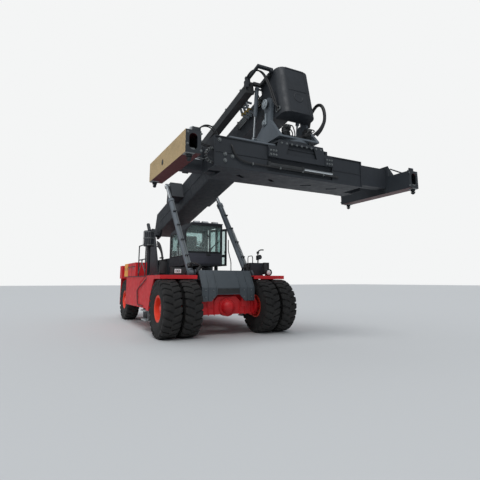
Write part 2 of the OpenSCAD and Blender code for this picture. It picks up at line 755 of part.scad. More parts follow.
module boom_head() {
    color(dark_paint) along_boom() translate([0, 0, box_h]) difference() {
        intersection() {
            side_plate(-480, 480, [[-head_s + 320, 560], [-head_s + 320, 0], [-head_s + 200, neck_h],
                [-head_s - 120, -690], [-head_s - 510, -690], [-head_s - 510, 560]]);
            translate([0, 0, -700]) linear_extrude(1300) nose_plan(0);
        }
        intersection() {
            side_plate(-480, 480, [[-head_s + 360, 520], [-head_s + 360, neck_h], [-head_s + 180, neck_h],
                [-head_s - 140, -650], [-head_s - 510, -650], [-head_s - 510, 520]]);
            translate([0, 0, -700]) linear_extrude(1300) nose_plan(40);
        }
    }
    // Roller brackets and the cover on top
    color(dark_paint) along_boom() translate([0, 0, box_h]) {
        for (lug = [[-440, -60], [-300, -60], [250, -420]]) span([lug[0], -head_s + lug[1], 555],
            [lug[0] + 30, -head_s + lug[1] + 160, 640]);
        side_plate(-250, 250, [[-head_s - 420, 555], [-head_s + 100, 555], [-head_s + 100, 580],
            [-head_s - 420, 620]]);
    }
    color(steel) along_boom() translate([0, -head_s, head_h]) both_sides() bar_x(-640, -420, head_pin_d);
    color(dark_paint) along_boom() translate([0, -head_s + 250, head_h + 620]) both_sides()
        bar_x(-damper_x - 45, -440, 50);
    color(dark_paint) along_boom() translate([0, 0, box_h]) both_sides()
        span([-430, -head_s - 190, neck_h], [-inner_w / 2, -head_s + 190, inner_d / 2]);
}

module hose_guide() {
    color(steel) along_boom() {
        span([-960, -head_s + 200, box_h + 320], [-900, -head_s + 260, box_h + 420]);
        span([-900, -head_s - 300, box_h + 560], [-840, -head_s + 260, box_h + 620]);
        span([-960, -head_s + 200, box_h + 420], [-840, -head_s + 260, box_h + 620]);
        span([-840, -head_s - 300, box_h + 560], [-470, -head_s - 220, box_h + 620]);
        span([-550, -head_s - 300, box_h + 520], [-470, -head_s - 220, box_h + 560]);
    }
}

module lift_barrels() {
    color(steel) from_axle() both_sides() translate([-lift_x, foot_y, foot_z]) rotate([lift_tilt, 0, 0]) {
        difference() {
            union() {
                translate([0, 0, 60]) cylinder(d = barrel_d, h = barrel_len - 60, $fn = 48);
                translate([0, 0, barrel_len - 140]) cylinder(d = barrel_d + 40, h = 140, $fn = 48);
                bar_x(-75, 75, 190);
            }
            translate([0, 0, 120]) cylinder(d = lift_rod_d + 2 * slide_clear, h = barrel_len, $fn = 48);
            bar_x(-200, 200, foot_pin_d + 2 * pin_clear);
        }
    }
}

module lift_rods() {
    color(chrome) from_axle() both_sides() translate([-lift_x, eye_y, eye_z]) rotate([lift_tilt, 0, 0]) {
        union() {
            translate([0, 0, -lift_rod_len]) cylinder(d = lift_rod_d, h = lift_rod_len - 60, $fn = 48);
            bar_x(-65, 65, 200);
            bar_x(-90, 80 - pin_clear, foot_pin_d);
        }
    }
}

// Hanger under the head pin: everything is drawn from the pin, with Z down to the ring
module at_pin() {
    translate([0, axle_y + head_y, head_z]) children();
}

ring_z = -900;

module head_hanger() {
    color(steel) at_pin() {
        both_sides() difference() {
            union() {
                side_plate(-560, -arm_in_x, [[-170, 0], [170, 0], [120, -300], [330, -520], [640, -700],
                    [620, -760],
                    [540, ring_z], [-500, ring_z], [-330, -700], [-110, -420]]);
                bar_x(-565, -arm_in_x, 350);
                translate([0, 160, -400]) bar_x(-575, -arm_in_x, 190);
            }
            bar_x(-700, -400, head_pin_d + 2 * pin_clear);
        }
        difference() {
            span([-560, -500, ring_z - 40], [560, 480, ring_z]);
            translate([0, 0, ring_z - 50]) cylinder(d = 300, h = 200, $fn = 48);
        }
        translate([0, 0, ring_z - 100]) difference() {
            cylinder(d = ring_d, h = 62, $fn = 64);
            translate([0, 0, -10]) cylinder(d = ring_d - 300, h = 100, $fn = 64);
        }
    }
}

module slew_drives() {
    color("#202325") at_pin() for (drive_x = [-300, 300]) translate([drive_x, -360, ring_z]) {
        cylinder(d = 180, h = 180, $fn = 48);
        translate([0, 0, 180]) cylinder(d = 120, h = 110, $fn = 48);
    }
}

// Dampers stand between an ear on the head and the toe of each hanger arm
damper_x = 640;
arm_in_x = 480;
damper_top = [250 * cos(boom_rest) + 620 * sin(boom_rest), -250 * sin(boom_rest) + 620 * cos(boom_rest)];
damper_toe = [540, -700];
damper_len = norm(damper_top - damper_toe);
damper_tilt = atan2(damper_toe[0] - damper_top[0], damper_top[1] - damper_toe[1]);

module damper_barrels() {
    color(steel) at_pin() both_sides() translate([-damper_x, damper_top[0], damper_top[1]])
        rotate([damper_tilt, 0, 0])
        difference() {
            union() {
                translate([0, 0, -700]) cylinder(d = 100, h = 660, $fn = 48);
                bar_x(-35, 35, 110);
            }
            translate([0, 0, -710]) cylinder(d = 50 + 2 * slide_clear, h = 630, $fn = 48);
            bar_x(-100, 100, 50 + 2 * pin_clear);
        }
}

module damper_rods() {
    color(chrome) at_pin() both_sides() translate([-damper_x, damper_toe[0], damper_toe[1]])
        rotate([damper_tilt, 0, 0])
        {
            union() {
                translate([0, 0, 30]) cylinder(d = 50, h = 670, $fn = 48);
                bar_x(-30, 30, 100);
                bar_x(-40, damper_x - 560 - pin_clear, 50);
            }
        }
}

module turning_frame() {
    color(dark_paint) at_pin() {
        translate([0, 0, ring_z - 160]) difference() {
            cylinder(d = ring_d, h = 60 - pin_clear, $fn = 64);
            translate([0, 0, -10]) cylinder(d = ring_d - 300, h = 100, $fn = 64);
        }
        span([-620, -cheek_y - 25, ring_z - 200], [620, cheek_y + 25, ring_z - 160]);
        for (turn = [0, 180]) rotate([0, 0, turn]) {
            // Cheek in front of the box, with slanting posts round a window and a rail below
            difference() {
                front_plate(-cheek_y - 25, -cheek_y, [[-620, ring_z - 180], [-700, rail_top],
                    [-900, rail_top],
                    [-900, rail_top - 120], [900, rail_top - 120], [900, rail_top], [700, rail_top],
                        [620, ring_z - 180]]);
                front_plate(-cheek_y - 30, -cheek_y + 10, [[-350, ring_z - 230], [-430, rail_top],
                    [430, rail_top],
                    [350, ring_z - 230]]);
            }
            // Clamps that hook under the flange of the box
            for (clamp_x = [-900, 660]) {
                span([clamp_x, -cheek_y - 45, rail_top - 120],
                    [clamp_x + 240, -cheek_y - 25, rail_top + 90]);
                span([clamp_x, -cheek_y - 25, rail_top - 120],
                    [clamp_x + 240, -main_y - pad_clear, main_z + main_d - 20 - pad_clear]);
            }
            // Pads that slide on the box
            for (pad_y = [-main_y, -main_y + main_w - 70])
                span([-600, pad_y, main_z + main_d + pad_clear], [600, pad_y + 70, ring_z - 200]);
        }
        // Eye of the shift cylinder's rod
        span([shift_eye - 30, shift_y - 50, main_z + main_d + 15],
            [shift_eye + 30, shift_y + 50, ring_z - 200]);
        span([620, shift_y - 50, ring_z - 200], [shift_eye + 30, shift_y + 50, ring_z - 170]);
    }
}

main_z = spreader_z - head_z + 60;
cheek_y = main_y + box_flange + cheek_run;
rail_top = main_z + main_d - 165;
shift_y = -350;
shift_z = main_z + main_d + 60;
shift_eye = 850;
shift_barrel = 1750;
end_cylinder_y = 90;
end_cylinder_z = main_z + 300;
lock_len = spreader_len - 2 * lock_end_gap;
lock_w = spreader_w - 2 * lock_side_gap;

module shift_rod() {
    color(chrome) at_pin() translate([0, shift_y, shift_z]) bar_x(-shift_eye - 10, shift_eye - 30, 45);
}

// One main box with its closed end to the right and its mouth to the left, and its half of the ties
module main_half() {
    translate([0, 0, main_z]) {
        difference() {
            union() {
                span([-box_back, -main_y, 0], [box_mouth, -main_y + main_w, main_d]);
                span([-box_back, -main_y - box_flange, main_d - 20], [box_mouth, -main_y + 10, main_d]);
                span([-box_back, -main_y - box_flange, 0], [-box_mouth, -main_y + 10, 20]);
            }
            span([-box_back + 20, -main_y + box_wall, box_wall],
                [box_mouth - pad_len, -main_y + main_w - box_wall, main_d - box_wall]);
            // Mouth with its wear pads
            span([-box_back + 20, beam_y - pad_clear, beam_low - pad_clear],
                [box_mouth + 20, beam_y + beam_w + pad_clear, beam_low + beam_d + pad_clear]);
            // Recess in the outer wall
            span([-890, -main_y - 10, 60], [910, -main_y + box_wall + 10, 370]);
        }
        difference() {
            union() {
                span([-box_back, -main_y, 0], [-box_back + 20, main_y - main_w - 20, main_d]);
                for (tie_x = [-1200, -500]) span([tie_x, -main_y + main_w, 40],
                    [tie_x + 60, main_y - main_w, main_d - 40]);
            }
            for (side_y = [-end_cylinder_y, end_cylinder_y])
                translate([0, side_y, end_cylinder_z - main_z]) bar_x(-box_back - 10, 0, 101);
        }
    }
}

beam_y = -main_y + (main_w - beam_w) / 2;
beam_low = (main_d - beam_d) / 2;
beam_end = spreader_len / 2 - end_w;

module main_spreader() {
    color(dark_paint) at_pin() {
        main_half();
        rotate([0, 0, 180]) main_half();
        // Floor between the boxes, with two pairs of slanting slots
        difference() {
            span([-box_mouth, -main_y + main_w, main_z], [box_mouth, main_y - main_w, main_z + 20]);
            for (slot_x = [-1300, -500, 500, 1300]) translate([slot_x, 0, main_z - 10])
                rotate([0, 0, slot_x > 0 ? 55 : -55]) translate([-45, -130, 0]) cube([90, 260, 40]);
        }
    }
}

module spreader_cylinders() {
    color(steel) at_pin() {
        // Barrel of the shift cylinder on the front box
        translate([0, shift_y, shift_z]) difference() {
            bar_x(-shift_barrel, 0, 90);
            bar_x(-shift_barrel + 20, 10, 45 + 2 * slide_clear);
        }
        for (saddle_x = [-shift_barrel + 60, -120])
            span([saddle_x, shift_y - 50, main_z + main_d],
                [saddle_x + 60, shift_y + 50, main_z + main_d + 20]);
        // Barrels that draw the ends out, between the boxes
        for (turn = [0, 180]) rotate([0, 0, turn]) translate([0, -end_cylinder_y, end_cylinder_z])
            difference() {
            bar_x(-1950, 1250, 100);
            bar_x(-1930, 1300, 60 + 2 * slide_clear);
        }
    }
}

// The beam that draws out to the left, in the front box
module slide_beam() {
    difference() {
        union() {
            span([-box_back + 50, beam_y, beam_low], [beam_end, beam_y + beam_w, beam_low + beam_d]);
            // Wear pad at the inner end
            span([-box_back + 50, -main_y + box_wall + pad_clear, box_wall + pad_clear],
                [-box_back + 50 + pad_len, -main_y + main_w - box_wall - pad_clear,
                    main_d - box_wall - pad_clear]);
        }
        span([-box_back + 40, beam_y + 16, beam_low + 16],
            [beam_end + 10, beam_y + beam_w - 16, beam_low + beam_d - 16]);
    }
}

module end_rod() {
    translate([0, -end_cylinder_y, end_cylinder_z]) bar_x(-1870, beam_end, 60);
}

module beam_left() {
    color(dark_paint) at_pin() translate([0, 0, main_z]) slide_beam();
}

module beam_right() {
    color(dark_paint) at_pin() translate([0, 0, main_z]) rotate([0, 0, 180]) slide_beam();
}

module end_rod_left() {
    color(chrome) at_pin() end_rod();
}

module end_rod_right() {
    color(chrome) at_pin() rotate([0, 0, 180]) end_rod();
}

// The end beam across the left end, hollow, with the plate that its beam and rod are fixed to
module end_beam() {
    difference() {
        span([beam_end, -spreader_w / 2, 0], [beam_end + end_w, spreader_w / 2, end_d]);
        span([beam_end + 20, -spreader_w / 2 - 10, 20],
            [beam_end + end_w - 20, spreader_w / 2 + 10, end_d - 20]);
    }
    // Frames at both ends, each with a long hole
    for (frame_y = [-spreader_w / 2, spreader_w / 2 - 30]) difference() {
        span([beam_end + 10, frame_y, 10], [beam_end + end_w - 10, frame_y + 30, end_d - 10]);
        for (hole_z = [140, 290]) translate([beam_end + end_w / 2, frame_y - 10, hole_z])
            rotate([-90, 0, 0]) cylinder(d = 160, h = 50, $fn = 48);
        span([beam_end + end_w / 2 - 80, frame_y - 10, 140],
            [beam_end + end_w / 2 + 80, frame_y + 40, 290]);
    }
    span([beam_end, -main_y - 60, end_d], [beam_end + 30, 200, main_z - spreader_z + head_z + main_d]);
    for (gusset_y = [-main_y - 60, 170])
        front_plate(gusset_y, gusset_y + 30, [[beam_end + 30, end_d], [beam_end + end_w - 20, end_d],
            [beam_end + 30, main_z - spreader_z + head_z + main_d - 20]]);
}

module end_beam_left() {
    color(tan_paint) at_pin() translate([0, 0, spreader_z - head_z]) end_beam();
}

module end_beam_right() {
    color(tan_paint) at_pin() translate([0, 0, spreader_z - head_z]) rotate([0, 0, 180]) end_beam();
}

// A twistlock under each corner of one end: collar, neck and a head with a cone to find its corner
module twistlocks(side) {
    for (across = [-lock_w / 2, lock_w / 2])
        translate([side * lock_len / 2, across, spreader_z - head_z]) {
            translate([0, 0, -60]) cylinder(d = lock_collar_d, h = 60, $fn = 48);
            translate([0, 0, -80]) cylinder(d = 50, h = 20, $fn = 48);
            intersection() {
                translate([0, 0, -135]) {
                    cylinder(d1 = 40, d2 = lock_head_d, h = 30, $fn = 48);
                    translate([0, 0, 30]) cylinder(d = lock_head_d, h = 25, $fn = 48);
                }
                translate([-30, -60, -140]) cube([60, 120, 60]);
            }
        }
}

module twistlocks_right() {
    color(steel) at_pin() twistlocks(-1);
}

module twistlocks_left() {
    color(steel) at_pin() twistlocks(1);
}

chassis_frame();
boom_tower();
counterweight();
engine_block();
engine_hood();
drive_axle();
steer_axle();
front_cowl();
fenders();
side_tanks();
deck_plates();
side_steps();
handrails();
exhaust_stack();
deck_box();
head_lamps();
mirrors();
cab_shell();
cab_windows();
operator_place();
cab_door();
drive_tyres_right();
drive_rims_right();
drive_tyres_left();
drive_rims_left();
knuckle_right();
knuckle_left();
steer_tyre_right();
steer_rim_right();
steer_tyre_left();
steer_rim_left();
outer_boom();
hose_carrier();
inner_boom();
boom_head();
hose_guide();
lift_barrels();
lift_rods();
head_hanger();
slew_drives();
damper_barrels();
damper_rods();
turning_frame();
shift_rod();
main_spreader();
spreader_cylinders();
beam_right();
end_rod_right();
end_beam_right();
beam_left();
end_rod_left();
end_beam_left();
twistlocks_right();
twistlocks_left();
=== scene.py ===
"""Reach stacker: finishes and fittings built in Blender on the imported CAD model."""

from math import radians

import bpy
import numpy as np
from bpy.props import FloatProperty, FloatVectorProperty, IntProperty, PointerProperty
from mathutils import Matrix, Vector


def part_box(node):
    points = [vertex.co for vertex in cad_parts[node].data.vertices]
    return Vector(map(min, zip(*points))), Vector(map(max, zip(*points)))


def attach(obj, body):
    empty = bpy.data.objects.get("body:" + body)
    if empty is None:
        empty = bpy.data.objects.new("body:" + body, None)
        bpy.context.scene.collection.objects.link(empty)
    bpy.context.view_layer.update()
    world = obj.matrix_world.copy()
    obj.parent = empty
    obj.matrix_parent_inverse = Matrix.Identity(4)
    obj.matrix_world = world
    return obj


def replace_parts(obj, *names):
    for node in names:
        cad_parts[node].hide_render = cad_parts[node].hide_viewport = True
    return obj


bl_info = {
    "name": "Reach Stacker Dressing",
    "version": (1, 0, 0),
    "blender": (4, 5, 0),
    "location": "View3D > Sidebar > Reach Stacker",
    "description": "Paints the CAD model of a reach stacker and adds its tyres, hoses and fittings",
    "category": "Object",
}

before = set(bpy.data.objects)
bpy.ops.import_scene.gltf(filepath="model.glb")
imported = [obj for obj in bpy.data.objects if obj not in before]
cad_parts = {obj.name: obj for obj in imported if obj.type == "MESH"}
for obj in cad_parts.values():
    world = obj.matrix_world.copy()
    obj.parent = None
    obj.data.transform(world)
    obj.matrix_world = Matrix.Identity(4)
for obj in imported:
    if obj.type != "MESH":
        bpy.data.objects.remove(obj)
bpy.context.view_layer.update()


def srgb(code):
    """The linear colour of a six-digit sRGB hex code: below 0.04045 a value over 12.92,
    above it a power of 2.4."""
    value = np.array([int(code[i:i + 2], 16) for i in (1, 3, 5)]) / 255
    linear = np.where(value <= 0.04045, value / 12.92, ((value + 0.055) / 1.055) ** 2.4)
    return (*linear.tolist(), 1.0)


def middle(node):
    """The middle of a CAD node's box: half the sum of its two corners."""
    low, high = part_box(node)
    return (np.array(low) + np.array(high)) / 2


def shift(x, y, z):
    """The 4 by 4 matrix that moves by x, y, z."""
    m = np.eye(4)
    m[:3, 3] = (x, y, z)
    return m


def turn(axis, angle):
    """The 4 by 4 matrix that turns about X, Y or Z by an angle in radians."""
    i, j = {"X": (1, 2), "Y": (2, 0), "Z": (0, 1)}[axis]
    m = np.eye(4)
    m[i, i] = m[j, j] = np.cos(angle)
    m[j, i] = np.sin(angle)
    m[i, j] = -np.sin(angle)
    return m


# Places that the CAD draws from, in metres: wheel axes, boom pivot, head pin and deck.
# Fittings are drawn from the drive axle, along the boom, or from the head pin.
AXLE_Y = float(middle("drive_rims_right")[1])
STEER_Y = float(middle("steer_rim_right")[1])
TYRE_RADIUS, TYRE_WIDTH, RIM_RADIUS = 0.82, 0.5, 0.348
INNER_TYRE_X, OUTER_TYRE_X, STEER_TYRE_X = 1.26, 1.86, 1.5
PIVOT_Y, PIVOT_Z = 6.0, 3.6
HEAD_PIN = (0, AXLE_Y - 3.51362, 5.75488)
DECK_Z = 1.76
BOOM_TILT = radians(11)
FROM_AXLE = shift(0, AXLE_Y, 0)
ALONG_BOOM = shift(0, AXLE_Y + PIVOT_Y, PIVOT_Z) @ turn("X", -BOOM_TILT) @ shift(0, 0, 0.56)
AT_HEAD = ALONG_BOOM @ shift(0, -9.75, 0)
AT_PIN = shift(*HEAD_PIN)
AT_BOTH_BOXES = (AT_PIN, AT_PIN @ turn("Z", np.pi))
# Height of the spreader's underside from the head pin
SPREADER_LOW = 3.83 - HEAD_PIN[2]


# Forms: a form is (points, corner indices of all faces in a row, corners of each face)

# Faces round the corner of an eased rectangle, and points on the arc of a bend
CORNER_STEPS, BEND_STEPS = 2, 5


def skin(rows, closed=False, ends=True):
    """A surface over a grid: rows[i, j] is point j round cross-section i, and j wraps round. With ends,
    the first and last section are closed by a face each; closed joins the last section to the first.
    Faces are turned outwards by the sign of the volume, the sum of a . (b x c) over the triangles."""
    rows = np.asarray(rows, float)
    n, m = rows.shape[:2]
    i = np.arange(n if closed else n - 1)[:, None]
    j = np.arange(m)[None, :]
    i2, j2 = (i + 1) % n, (j + 1) % m
    quads = np.stack([i * m + j, i * m + j2, i2 * m + j2, i2 * m + j], -1).reshape(-1, 4)
    points = rows.reshape(-1, 3)
    a, b, c, d = (points[quads[:, k]] for k in range(4))
    volume = (np.einsum("ij,ij->i", a, np.cross(b, c)) + np.einsum("ij,ij->i", a, np.cross(c, d))).sum()
    corners, counts = [quads.ravel()], [np.full(len(quads), 4)]
    if ends and not closed:
        first, last = np.arange(m)[::-1], np.arange(m) + (n - 1) * m
        for cap in (first, last):
            o = points[cap[0]]
            p, q = points[cap[1:-1]], points[cap[2:]]
            volume += (np.cross(p, q) @ o).sum()
            corners.append(cap)
            counts.append([m])
    form = (points, np.concatenate(corners), np.concatenate(counts))
    return reversed_faces(form) if volume < 0 else form


def reversed_faces(form):
    """A form with the corners of each face in the opposite order."""
    points, corners, counts = form
    starts = np.cumsum(counts) - counts
    within = np.arange(len(corners)) - np.repeat(starts, counts)
    return points, corners[np.repeat(starts + counts - 1, counts) - within], counts


def join(*forms):
    """Several forms as one: each form's corner indices are raised by the points before it."""
    offsets = np.cumsum([0] + [len(f[0]) for f in forms[:-1]])
    return (np.concatenate([f[0] for f in forms]), np.concatenate([f[1] + o for f, o in zip(forms, offsets)]),
            np.concatenate([f[2] for f in forms]))


def placed(form, *moves):
    """Copies of a form, one for each 4 by 4 matrix: points times the matrix."""
    moves = np.asarray(moves, float).reshape(-1, 4, 4)
    points = np.einsum("kij,nj->kni", moves[:, :3, :3], form[0]) + moves[:, None, :3, 3]
    corners = (form[1][None, :] + (np.arange(len(moves)) * len(form[0]))[:, None]).ravel()
    return points.reshape(-1, 3), corners, np.tile(form[2], len(moves))


def flipped(form):
    """The mirror image of a form across the machine's middle plane: x becomes -x, and its faces are
    turned round."""
    return reversed_faces((form[0] * (-1, 1, 1), form[1], form[2]))


def mirrored(form):
    """A form and its mirror image across the machine's middle plane."""
    return join(form, flipped(form))


def facing(direction):
    """The 4 by 4 matrix that turns Z to a direction: its columns are two vectors square to it, and it."""
    w = np.asarray(direction, float) / np.linalg.norm(direction)
    u = np.cross((0, 1, 0) if abs(w[1]) < 0.9 else (1, 0, 0), w)
    u /= np.linalg.norm(u)
    m = np.eye(4)
    m[:3, :3] = np.stack([u, np.cross(w, u), w], 1)
    return m


def turned(profile, sides=24, at=(0, 0, 0), towards=(0, 0, 1), closed=False):
    """A profile of (radius, height) points turned about Z: x = r cos a, y = r sin a, z = h. Its foot
    stands at a place, with its axis towards a direction."""
    r, h = np.array(profile, float).T
    a = np.linspace(0, 2 * np.pi, sides, endpoint=False)
    rows = np.stack([np.outer(r, np.cos(a)), np.outer(r, np.sin(a)), np.repeat(h[:, None], sides, 1)], -1)
    return placed(skin(rows, closed), shift(*at) @ facing(towards))


def ring_of(profile, *where):
    """A closed profile of (radius, height) points turned into a ring, placed as turned does."""
    return turned(profile, *where, closed=True)


def eased(half_x, half_y, radius):
    """The outline of a rectangle with round corners: a quarter circle round each corner's middle."""
    steps = CORNER_STEPS
    a = np.linspace(0, np.pi / 2, steps + 1)
    a = (np.arange(4)[:, None] * np.pi / 2 + a[None, :]).ravel()
    sx, sy = np.repeat([1, -1, -1, 1], steps + 1), np.repeat([1, 1, -1, -1], steps + 1)
    return np.stack([sx * (half_x - radius) + radius * np.cos(a),
                     sy * (half_y - radius) + radius * np.sin(a)],
                    -1)


def slab(low, high, ease=0.006, round_=None):
    """A box between two corners with eased edges: a round-cornered rectangle carried upwards, drawn in
    by the easing at both ends."""
    low, high = np.minimum(low, high), np.maximum(low, high)
    size = (high - low) / 2
    ease = min(ease, *(size * 0.45))
    corner = max(round_ or ease, ease * 1.01)
    rows = []
    for inset, z in ((ease, -size[2]), (0, -size[2] + ease), (0, size[2] - ease), (ease, size[2])):
        xy = eased(size[0] - inset, size[1] - inset, max(corner - inset, 0.0005))
        rows.append(np.column_stack([xy, np.full(len(xy), z)]))
    return placed(skin(rows), shift(*((low + high) / 2)))


def blocks(*corners, ease=0.006):
    """Boxes with eased edges between pairs of corners, as one form."""
    return join(*(slab(low, high, ease) for low, high in corners))


def smooth_path(points, steps=8):
    """A curve through points: a Catmull-Rom cubic between each two, of the mean of both neighbours'
    slopes."""
    p = np.asarray(points, float)
    p = np.vstack([2 * p[0] - p[1], p, 2 * p[-1] - p[-2]])
    t = np.linspace(0, 1, steps, endpoint=False)[:, None]
    a, b, c, d = p[:-3, None], p[1:-2, None], p[2:-1, None], p[3:, None]
    curve = 0.5 * (2 * b + (c - a) * t + (2 * a - 5 * b + 4 * c - d) * t**2 + (3 * b - 3 * c + d - a) * t**3)
    return np.vstack([curve.reshape(-1, 3), p[-2]])


def bent_path(points, radius):
    """Straight runs joined by bends: at each corner a quadratic arc between the points a radius before
    and after it."""
    p = np.asarray(points, float)
    corner = p[1:-1]
    ways = [end - corner for end in (p[:-2], p[2:])]
    runs = [np.linalg.norm(way, axis=1, keepdims=True) for way in ways]
    start, end = (corner + way / run * np.minimum(radius, run * 0.48) for way, run in zip(ways, runs))
    t = np.linspace(0, 1, BEND_STEPS)[None, :, None]
    arcs = (1 - t)**2 * start[:, None] + 2 * t * (1 - t) * corner[:, None] + t**2 * end[:, None]
    return np.vstack([p[:1], arcs.reshape(-1, 3), p[-1:]])


def pipe(path, radius, sides=8):
    """A circle carried along a path, square to it: the first side vector is carried on by taking off its
    part along each tangent."""
    p = np.asarray(path, float)
    tangent = np.gradient(p, axis=0)
    tangent /= np.linalg.norm(tangent, axis=1, keepdims=True)
    side = np.cross(tangent[0], (0.3, 0.2, 1.0) if abs(tangent[0][2]) < 0.9 else (1.0, 0.2, 0))
    across = []
    for t in tangent:
        side = side - t * (side @ t)
        side /= np.linalg.norm(side)
        across.append(side)
    u = np.array(across)
    v = np.cross(tangent, u)
    a = np.linspace(0, 2 * np.pi, sides, endpoint=False)[None, :, None]
    return skin(p[:, None] + float(radius) * (np.cos(a) * u[:, None] + np.sin(a) * v[:, None]))


def rods(*ends, radius=0.01, sides=12):
    """Straight round bars between pairs of points, as one form."""
    return join(*(pipe(pair, radius, sides) for pair in ends))


def bent_pipe(points, bend, *section):
    """A pipe of a radius and a number of sides along a bent path."""
    return pipe(bent_path(points, bend), *section)


def bundle(points, apart, numbers, radius, sides=8, steps=8):
    """Hoses side by side: number k is a pipe along the smooth path through points + k * apart."""
    points, apart = np.array(points, float), np.array(apart, float)
    return join(*(pipe(smooth_path(points + k * apart, steps), radius, sides) for k in numbers))


def bolts(places, direction, size=0.03):
    """Hexagon bolts with washers at places, their heads along a direction: turned profiles of six and of
    sixteen sides."""
    head = join(turned([(size * 0.8, 0), (size * 0.8, size * 0.12)], 16),
                turned([(size * 0.55, size * 0.1), (size * 0.55, size * 0.55), (size * 0.42, size * 0.66)],
                       6))
    return placed(head, *(shift(*place) @ facing(direction) for place in places))


def ring_places(centre, radius, count, axis="X"):
    """Points round a circle about X, Y or Z: the centre plus the radius times (cos a, sin a) in the plane
    square to that axis."""
    a = np.arange(count) * 2 * np.pi / count
    zero = np.zeros(count)
    c, d = radius * np.cos(a), radius * np.sin(a)
    return np.asarray(centre) + np.stack({"X": (zero, c, d), "Y": (c, zero, d), "Z": (c, d, zero)}[axis], -1)


# Stations of a lug from the middle of the tread over the shoulder and down the side: share of its length,
# x, height from the tread's base, lean in degrees, half its width, its height
LUG = np.array([
    (0.00, -0.020, -0.006, 0, 0.084, 0.038),
    (0.30, 0.060, -0.006, 0, 0.086, 0.042),
    (0.62, 0.145, -0.006, 4, 0.086, 0.042),
    (0.84, 0.200, -0.010, 18, 0.084, 0.041),
    (0.95, 0.228, -0.030, 52, 0.080, 0.034),
    (1.00, 0.238, -0.070, 80, 0.068, 0.020),
    (1.00, 0.242, -0.110, 88, 0.052, 0.006),
])
LUG_SWEEP = -0.12
LUG_DEPTH = 0.036


def tyre(lugs, radius, width, rim_radius):
    """A tyre about X. The carcass is a closed outline of (x, radius) points turned about X; each lug is a
    block whose six-sided section is carried along its stations, while its angle round the tyre runs on."""
    base, half = radius - LUG_DEPTH, width / 2
    side = [(-half + 0.06, rim_radius), (-half + 0.012, rim_radius + 0.06), (-half, rim_radius + 0.16),
            (-half + 0.004, rim_radius + 0.2), (-half - 0.006, rim_radius + 0.215),
            (-half + 0.002, rim_radius + 0.235), (-half + 0.015, base - 0.06), (-half + 0.05, base - 0.008),
            (-half * 0.5, base)]
    outline = np.array(side + [(-x, r) for x, r in side[::-1]])
    a = np.linspace(0, 2 * np.pi, 96, endpoint=False)
    x, r = np.repeat(outline[:, :1], 96, 1), outline[:, 1:]
    carcass = skin(np.stack([x, r * np.cos(a), r * np.sin(a)], -1), closed=True)
    t, lug_x, fall, lean, wide, tall = LUG.T
    lean, angle = np.radians(lean), LUG_SWEEP * t
    rows = []
    for across, up in ((-1, 0), (-1, 0.82), (-0.82, 1), (0.82, 1), (1, 0.82), (1, 0)):
        out = up * tall
        rows.append((lug_x + out * np.sin(lean), base + fall + out * np.cos(lean),
                     angle + across * wide * (1 - 0.12 * up) / base))
    px, pr, pa = (np.stack([row[k] for row in rows], 1) for k in range(3))
    lug = skin(np.stack([px, pr * np.cos(pa), pr * np.sin(pa)], -1))
    pitch = 2 * np.pi / lugs
    left = placed(lug, *(turn("X", k * pitch) for k in range(lugs)))
    right = placed(flipped(lug), *(turn("X", (k + 0.5) * pitch) for k in range(lugs)))
    return join(carcass, left, right)


def piece(name, form, body, finish, angle=35):
    """Puts a form into a mesh object at the origin, with sharp edges above an angle, its finish, and the
    body that it rides on."""
    points, corners, counts = form
    mesh = bpy.data.meshes.new(name)
    mesh.vertices.add(len(points))
    mesh.vertices.foreach_set("co", points.astype(np.float32).ravel())
    mesh.loops.add(len(corners))
    mesh.loops.foreach_set("vertex_index", corners.astype(np.int32))
    mesh.polygons.add(len(counts))
    mesh.polygons.foreach_set("loop_start", (np.cumsum(counts) - counts).astype(np.int32))
    mesh.update(calc_edges=True)
    mesh.validate()
    mesh.polygons.foreach_set("use_smooth", np.ones(len(mesh.polygons), bool))
    mesh.set_sharp_from_angle(angle=radians(angle))
    mesh.materials.append(FINISHES[finish])
    obj = bpy.data.objects.new(name, mesh)
    bpy.context.scene.collection.objects.link(obj)
    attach(obj, body)
    return obj


# Finishes

PAINT_DUST, RUBBER_DUST = "#8d8880", "#7b766e"
# How strongly clear coatings, plastics and glass bend light, and how far edges are eased in metres
CLEAR_IOR = 1.5
EDGE_RADIUS = 0.008


def feed(material, node, inputs):
    """Gives a node's inputs their values, or links them to the sockets that feed them."""
    for socket, value in inputs.items():
        if isinstance(value, bpy.types.NodeSocket):
            material.node_tree.links.new(value, node.inputs[socket])
        else:
            node.inputs[socket].default_value = value


def add_node(material, kind, inputs=None, **settings):
    """Adds a node: settings are its own, and inputs are socket values or the sockets that feed them."""
    node = material.node_tree.nodes.new(kind)
    for name, value in settings.items():
        setattr(node, name, value)
    feed(material, node, inputs or {})
    return node


def new_material(name):
    """An empty node material, its shader and its object coordinates."""
    material = bpy.data.materials.new(name)
    material.use_nodes = True
    material.node_tree.nodes.clear()
    shader = add_node(material, "ShaderNodeBsdfPrincipled")
    add_node(material, "ShaderNodeOutputMaterial", {"Surface": shader.outputs["BSDF"]})
    return material, shader, add_node(material, "ShaderNodeTexCoord").outputs["Object"]


def ramp(material, factor, stops):
    """A colour ramp over a factor, from two (position, colour) stops."""
    node = add_node(material, "ShaderNodeValToRGB", {"Fac": factor})
    for element, stop in zip(node.color_ramp.elements, stops):
        element.position, element.color = stop
    return node.outputs["Color"]


def grey(value):
    """A grey of one linear value."""
    return (value, value, value, 1.0)


def shade(colour, factor, lift=0.0):
    """A colour whose channels are each multiplied by a factor and lifted a little, up to 1."""
    return tuple(min(1.0, c * factor + lift) for c in colour[:3]) + (1.0,)


